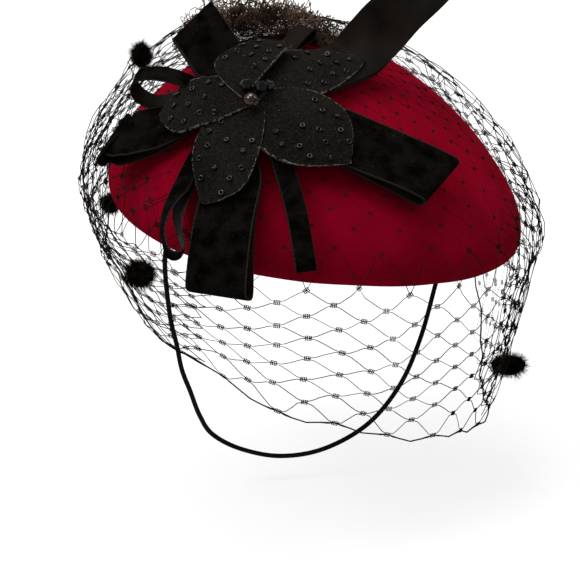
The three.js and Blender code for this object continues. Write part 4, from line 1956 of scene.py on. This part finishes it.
@dataclass(frozen=True)
class NetFold:
    """A loose fold of the net laid over the main layer, between two turns and two levels.

    Turns are in degrees and levels in the veil's rows; out and crumple are in millimetres.
    """

    name: str
    turns: tuple[float, float]
    levels: tuple[float, float]
    columns: int
    rows: int
    out: float
    crumple: float
    seed: int
    slack: float = 0.9

    def build(self, veil: Veil) -> list[bpy.types.Object]:
        """Make the fold.

        Args:
            veil: The veil that it belongs to.

        Returns:
            Its threads and knots.
        """

        def point(x: float, y: float) -> Vector:
            """Where a point of the fold goes.

            Args:
                x: -1 to 1 between the turns.
                y: -1 to 1 between the levels.

            Returns:
                The place, in metres.
            """
            start, stop = self.turns
            turn = math.radians(start + (stop - start) * (x + 1) / 2)
            level = self.levels[0] + (self.levels[1] - self.levels[0]) * (y + 1) / 2
            seat = Vector((x * 3.1, y * 2.3, self.seed))
            crumple = noise.noise(seat * 0.9) * self.crumple
            sway = noise.noise(seat * 0.8 + Vector((9, 4, 1))) * self.crumple
            place = veil.place(turn + sway * 0.012, level, self.out + crumple)
            return place + Vector((0, 0, sway * 0.5 * METRE))

        cells = Lattice(self.columns, self.rows, veil.strand, self.slack, self.seed)
        return [
            cells.weave(f"{self.name}_strands", point),
            cells.tie(f"{self.name}_knots", point),
        ]


NET_FOLDS = (
    NetFold("left_fold", (150, 248), (8, 15), 11, 10, 0.5, 6.0, 1),
    NetFold("right_fold", (-28, 62), (8, 14.8), 11, 9, -3.0, 4.5, 3),
    NetFold("back_fold", (60, 152), (7.5, 14.5), 12, 7, 0.5, 5.0, 4),
)


@dataclass
class Gather:
    """The scrunched end of the net, a frill behind the flower.

    It runs round the flower's centre from start to stop, in degrees; sizes are in millimetres.
    Every other layer is short, and the layers lie a spacing apart on average.
    """

    veil: Veil
    start: float = 113.0
    stop: float = 60.0
    radius: float = 76.0
    height: float = 22.0
    sunk: float = 4.0
    waves: float = 8.0
    swing: float = 5.0
    stray: float = 5.0
    layers: int = 8
    spacing: float = 1.1
    short: float = 0.55
    low_end: float = 0.35
    ragged: float = 0.35
    columns: int = 38
    rows: int = 5
    slack: float = 2.6
    seed: int = 20

    def build(self, thread: bpy.types.Material) -> None:
        """Crumple several layers of net into one another.

        Args:
            thread: The net's thread.
        """
        pieces = []
        for layer in range(self.layers):
            size = (self.columns, self.rows, self.veil.strand, self.slack)
            cells = Lattice(*size, seed=self.seed + layer, cuts=2)
            pieces.append(cells.weave(f"frill_{layer + 1}", self.crumpled(layer)))
        frill = join("gathered_net", pieces)
        dress(frill, Slot.NET, thread)
        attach(frill, BODY)
        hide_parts("net_gather")
        LOG.info("gathered_net made")

    def crumpled(self, layer: int) -> Surface:
        """The surface of one layer.

        Args:
            layer: The layer's number, from 0.

        Returns:
            A function from the flat net's x and y to a place in metres.
        """

        def point(x: float, y: float) -> Vector:
            """Where a point of the layer goes.

            Args:
                x: -1 to 1 from start to stop.
                y: -1 to 1 up the frill.

            Returns:
                The place, in metres.
            """
            share = (x + 1) / 2
            level = (y + 1) / 2
            phase = 2 * math.pi * self.waves * share + layer * 1.9
            seat = Vector((x * 9, y * 2.5, layer * 7.3))
            swing = self.swing * math.sin(phase) * (0.5 + 0.8 * level)
            apart = (layer - (self.layers - 1) / 2) * self.spacing
            distance = self.radius + swing + noise.noise(seat) * self.stray + apart
            angle = math.radians(self.start + (self.stop - self.start) * share)
            u = self.veil.flower.u + distance * math.cos(angle)
            v = self.veil.flower.v + distance * math.sin(angle)
            ends = self.low_end + (1 - self.low_end) * math.sin(math.pi * share**0.6)
            ragged = 1 + self.ragged * noise.noise(seat * 1.7 + Vector((3, 3, 3)))
            place = self.veil.on_crown(u, v)
            tall = 1.0 if layer % 2 else self.short
            place.z += self.height * level * ends * ragged * tall - self.sunk
            return CROWN.worn(place)

        return point


# ---- chenille dots and the strap ----------------------------------------------------------------


@dataclass(frozen=True)
class Dot:
    """One chenille dot: its node, its half sizes and its shift off the node, in millimetres."""

    node: str
    half: tuple[float, float, float]
    shift: tuple[float, float, float]


@dataclass
class ChenilleDots:
    """Fluffy tufts glued to the veil; the core is a share of a tuft's half size."""

    dots: tuple[Dot, ...] = (
        Dot("chenille_dot_1", (9.6, 7.2, 8.8), (4.0, 0.0, 5.0)),
        Dot("chenille_dot_2", (13.5, 7.0, 7.6), (4.5, -1.0, 6.0)),
        Dot("chenille_dot_3", (6.6, 6.3, 9.2), (-2.5, 0.0, 3.0)),
        Dot("chenille_dot_4", (6.0, 6.0, 6.0), (2.5, 0.0, 0.0)),
    )
    hairs: int = 2600
    hair_width: float = 0.1
    core: float = 0.62
    lumpy: float = 0.75
    stray_share: float = 0.04
    stray_length: float = 1.5
    seed: int = 31

    def build(self, chenille: bpy.types.Material) -> None:
        """Build every dot.

        Args:
            chenille: The tufts' fibre.
        """
        for index, dot in enumerate(self.dots):
            tuft = self.tuft(dot, random.Random(self.seed + index))
            dress(tuft, Slot.CHENILLE, chenille)
            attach(tuft, BODY)
            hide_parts(dot.node)
            LOG.info("%s made", tuft.name)

    def tuft(self, dot: Dot, chance: random.Random) -> bpy.types.Object:
        """One tuft: a lumpy core with straight hairs all over.

        Args:
            dot: The dot.
            chance: Where its unevenness comes from.

        Returns:
            The tuft.
        """
        low, high = (Vector(corner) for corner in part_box(dot.node))
        middle, half = (low + high) / 2 + Vector(dot.shift) * METRE, Vector(dot.half) * METRE
        core = primitive(bpy.ops.mesh.primitive_ico_sphere_add, subdivisions=3, radius=self.core)
        for vertex in core.data.vertices:
            swell = 1 + 0.25 * noise.noise(vertex.co * 3 + Vector((chance.random(), 0, 0)))
            vertex.co = middle + vertex.co * swell * half
        places = []
        for _ in range(self.hairs):
            out = scattered(chance, 1).normalized()
            lump = 1 + self.lumpy * noise.noise(out * 3.2 + middle * 40)
            root = middle + out * half * chance.uniform(0.35, 0.6)
            lean = scattered(chance, 0.3)
            stray = self.stray_length if chance.random() < self.stray_share else 1.0
            length = min(half) * chance.uniform(0.34, 0.56) * lump * stray
            size = Vector((self.hair_width * METRE, self.hair_width * METRE, length))
            places.append(stand(root, (out + lean).normalized(), size))
        fluff = scatter("fluff", hair(), places)
        return join(dot.node.replace("dot", "tuft"), [core, fluff])


@dataclass
class ChinStrap:
    """Round elastic from inside the base, under the chin and back.

    Its ends are a turn in degrees and a share of the way to the rim; route and length are in
    metres, the diameter in millimetres.
    """

    diameter: float = 2.4
    ends: tuple[tuple[float, float], ...] = ((-132.0, 0.95), (12.0, 0.72))
    route: tuple[tuple[float, float, float], ...] = (
        (-0.060, -0.0435, -0.064),
        (-0.0585, -0.045, -0.092),
        (-0.0556, -0.045, -0.109),
        (-0.0536, -0.044, -0.123),
        (-0.050, -0.042, -0.136),
        (-0.046, -0.038, -0.152),
        (-0.040, -0.033, -0.166),
        (-0.026, -0.029, -0.177),
        (-0.006, -0.026, -0.183),
        (0.016, -0.022, -0.181),
        (0.038, -0.016, -0.170),
        (0.054, -0.008, -0.152),
        (0.064, 0.0, -0.130),
        (0.071, 0.007, -0.104),
        (0.076, 0.011, -0.080),
    )
    length: float = 0.361
    steps: int = 8

    def line(self) -> list[Vector]:
        """The strap's centreline, from end to end.

        Returns:
            Points in metres, close together.
        """
        inset = CROWN.felt + GAP + self.diameter / 2
        first, last = (
            CROWN.worn(CROWN.point(math.radians(turn), share, inset)) for turn, share in self.ends
        )
        stops = [first, *(Vector(point) for point in self.route), last]
        padded = [stops[0] * 2 - stops[1], *stops, stops[-1] * 2 - stops[-2]]
        points = []
        for index in range(1, len(padded) - 2):
            a, b, c, d = padded[index - 1 : index + 3]
            bend, twist = a * 2 - b * 5 + c * 4 - d, b * 3 - a - c * 3 + d
            for step in range(self.steps):
                t = step / self.steps
                points.append((b * 2 + (c - a) * t + bend * t**2 + twist * t**3) / 2)
        return [*points, stops[-1]]

    def build(self, braid: bpy.types.Material) -> None:
        """Lay the strap.

        Args:
            braid: The elastic's braid.
        """
        line = self.line()
        obj = curve_along("chin_strap", line)
        obj.data.bevel_depth = self.diameter / 2 * METRE
        obj.data.bevel_resolution = 3
        obj.data.use_fill_caps = True
        obj.data.splines[0].use_smooth = True
        dress(obj, Slot.ELASTIC, braid)
        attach(obj, BODY)
        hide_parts("chin_elastic")
        tuple(line[0])
        modelled = sum((b - a).length for a, b in zip(line, line[1:]))
        LOG.info("chin_strap made, %.3f m long", modelled)


# ---- the studio ---------------------------------------------------------------------------------


@dataclass(frozen=True)
class Lamp:
    """A soft square light: its place and side in metres, its power in watts."""

    name: str
    place: tuple[float, float, float]
    side: float
    power: float


@dataclass
class Studio:
    """Plain pale floor, soft lights and the camera.

    Places and distances are in metres, the lens in millimetres, the elevation in degrees.
    """

    target: tuple[float, float, float] = (-0.0016, -0.0122, -0.0960)
    distance: float = 0.9
    elevation: float = 27.0
    lens: float = 114.0
    floor_below: float = 0.012
    floor_side: float = 12.0
    floor_grey: float = 0.2
    floor_glow: float = 0.78
    surround: float = 0.5
    lamps: tuple[Lamp, ...] = (
        Lamp("sky", (-0.25, 0.5, 1.75), 1.1, 38),
        Lamp("key", (-0.95, -0.2, 1.1), 0.5, 16),
        Lamp("fill", (1.15, 0.15, 0.9), 0.8, 5),
    )

    def build(self) -> None:
        """Set the camera, the floor and the lights."""
        self.camera()
        self.floor()
        for lamp in self.lamps:
            self.light(lamp)
        world = bpy.data.worlds.new("studio")
        world.use_nodes = True
        background = world.node_tree.nodes["Background"]
        background.inputs["Color"].default_value = (1, 1, 1, 1)
        background.inputs["Strength"].default_value = self.surround
        bpy.context.scene.world = world
        bpy.context.scene.view_settings.view_transform = "Standard"

    def camera(self) -> None:
        """Place the camera."""
        data = bpy.data.cameras.new("camera")
        data.lens = self.lens
        data.sensor_width = 36
        data.clip_start = 0.01
        camera = bpy.data.objects.new("camera", data)
        bpy.context.scene.collection.objects.link(camera)
        angle = math.radians(self.elevation)
        back = Vector((0, -math.cos(angle), math.sin(angle))) * self.distance
        camera.location = Vector(self.target) + back
        camera.rotation_euler = (math.pi / 2 - angle, 0, 0)
        bpy.context.scene.camera = camera

    def floor(self) -> None:
        """A wide pale floor just under the strap; it glows a little, so that it stays pale."""
        low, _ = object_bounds()
        place = (0, 0, low[2] - self.floor_below)
        floor = primitive(
            bpy.ops.mesh.primitive_plane_add, size=self.floor_side, location=place
        )
        floor.name = "floor"
        material = bpy.data.materials.new("pale_floor")
        material.use_nodes = True
        inputs = material.node_tree.nodes["Principled BSDF"].inputs
        inputs["Base Color"].default_value = (*(self.floor_grey,) * 3, 1)
        inputs["Roughness"].default_value = 1.0
        inputs["Specular IOR Level"].default_value = 0.0
        inputs["Emission Color"].default_value = (1, 1, 1, 1)
        inputs["Emission Strength"].default_value = self.floor_glow
        floor.data.materials.append(material)
        floor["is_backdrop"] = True

    def light(self, lamp: Lamp) -> None:
        """Add a light that faces the hat.

        Args:
            lamp: The light's place, size and power.
        """
        data = bpy.data.lights.new(lamp.name, "AREA")
        data.size = lamp.side
        data.energy = lamp.power
        obj = bpy.data.objects.new(lamp.name, data)
        bpy.context.scene.collection.objects.link(obj)
        obj.location = lamp.place
        way = Vector(self.target) - Vector(lamp.place)
        obj.rotation_euler = way.to_track_quat("-Z", "Y").to_euler()


# ---- the whole ----------------------------------------------------------------------------------


def finishes() -> dict[str, bpy.types.Material]:
    """Every finish of the hat, in linear colours.

    Returns:
        The materials by plain name.
    """
    shared = SharedEffects(fibre_group(), lint_group(), mottle_group())
    pale = (0.17, 0.16, 0.145, 1.0)
    made = {
        "felt": FeltFinish("red_felt", 0.95, 0.05, (1.0, 0.02, 0.05, 1.0), 0.01),
        "petal": FeltFinish(
            "black_felt", 0.95, 0.02, (0.6, 0.55, 0.5, 1.0), 0.0,
            dark=(0.0012, 0.0011, 0.0009, 1.0), light=(0.0046, 0.0040, 0.0033, 1.0),
            hair=(0.032, 0.029, 0.025, 1.0), edge=pale,
        ),
        "fray": ThreadFinish(
            "raw_fibres", 0.9, specular=0.0, dark=(0.03, 0.028, 0.026, 1.0), light=pale
        ),
        "velvet": VelvetFinish("velvet_pile", 0.95, 0.01, (0.5, 0.45, 0.4, 1.0), 0.0),
        "satin": SatinFinish("satin_back", 0.45, specular=0.035),
        "glass": ThreadFinish(
            "jet_glass", 0.1, specular=0.2, grain=300.0, depth=0.00001,
            dark=(0.0010, 0.0009, 0.0008, 1.0), light=(0.003, 0.002, 0.0015, 1.0),
        ),
        "smoky": ThreadFinish(
            "smoky_glass", 0.07, specular=0.35, grain=300.0, depth=0.00001,
            dark=(0.003, 0.0012, 0.0006, 1.0), light=(0.028, 0.011, 0.003, 1.0), patch=260.0,
        ),
        "thread": ThreadFinish("net_thread", 0.7, specular=0.03, depth=0.00001),
        # The gathered net's thread is the net's own dark brown thread, painted much lighter here
        # to stand for highlights and light through the gaps.
        "gathered": ThreadFinish(
            "gathered_thread_with_painted_highlight", 0.85, specular=0.02, depth=0.00001,
            dark=(0.008, 0.0045, 0.003, 1.0), light=(0.110, 0.070, 0.050, 1.0), patch=90.0,
        ),
        "chenille": ThreadFinish(
            "chenille_fibre", 1.0, sheen=0.01, specular=0.0,
            dark=(0.0006, 0.0004, 0.0003, 1.0), light=(0.010, 0.006, 0.0035, 1.0), patch=300.0,
        ),
        "braid": BraidFinish("braided_elastic", 0.75, specular=0.05),
    }
    return {name: finish.build(shared) for name, finish in made.items()}


def main() -> None:
    """Build the studio and every piece of the hat."""
    logging.basicConfig(level=logging.INFO, format="%(message)s")
    noise.seed_set(NOISE_SEED)
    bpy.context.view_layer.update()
    Studio().build()
    looks = finishes()
    ChinStrap().build(looks["braid"])
    flower = Flower()
    veil = Veil(flower)
    FeltBase().build(looks["felt"])
    flower.build(looks["petal"], looks["fray"], looks["glass"], looks["smoky"])
    RibbonLoops(veil).build(looks["velvet"], looks["satin"])
    veil.build(looks["thread"])
    Gather(veil).build(looks["gathered"])
    ChenilleDots().build(looks["chenille"])


if __name__ == "__main__":
    main()
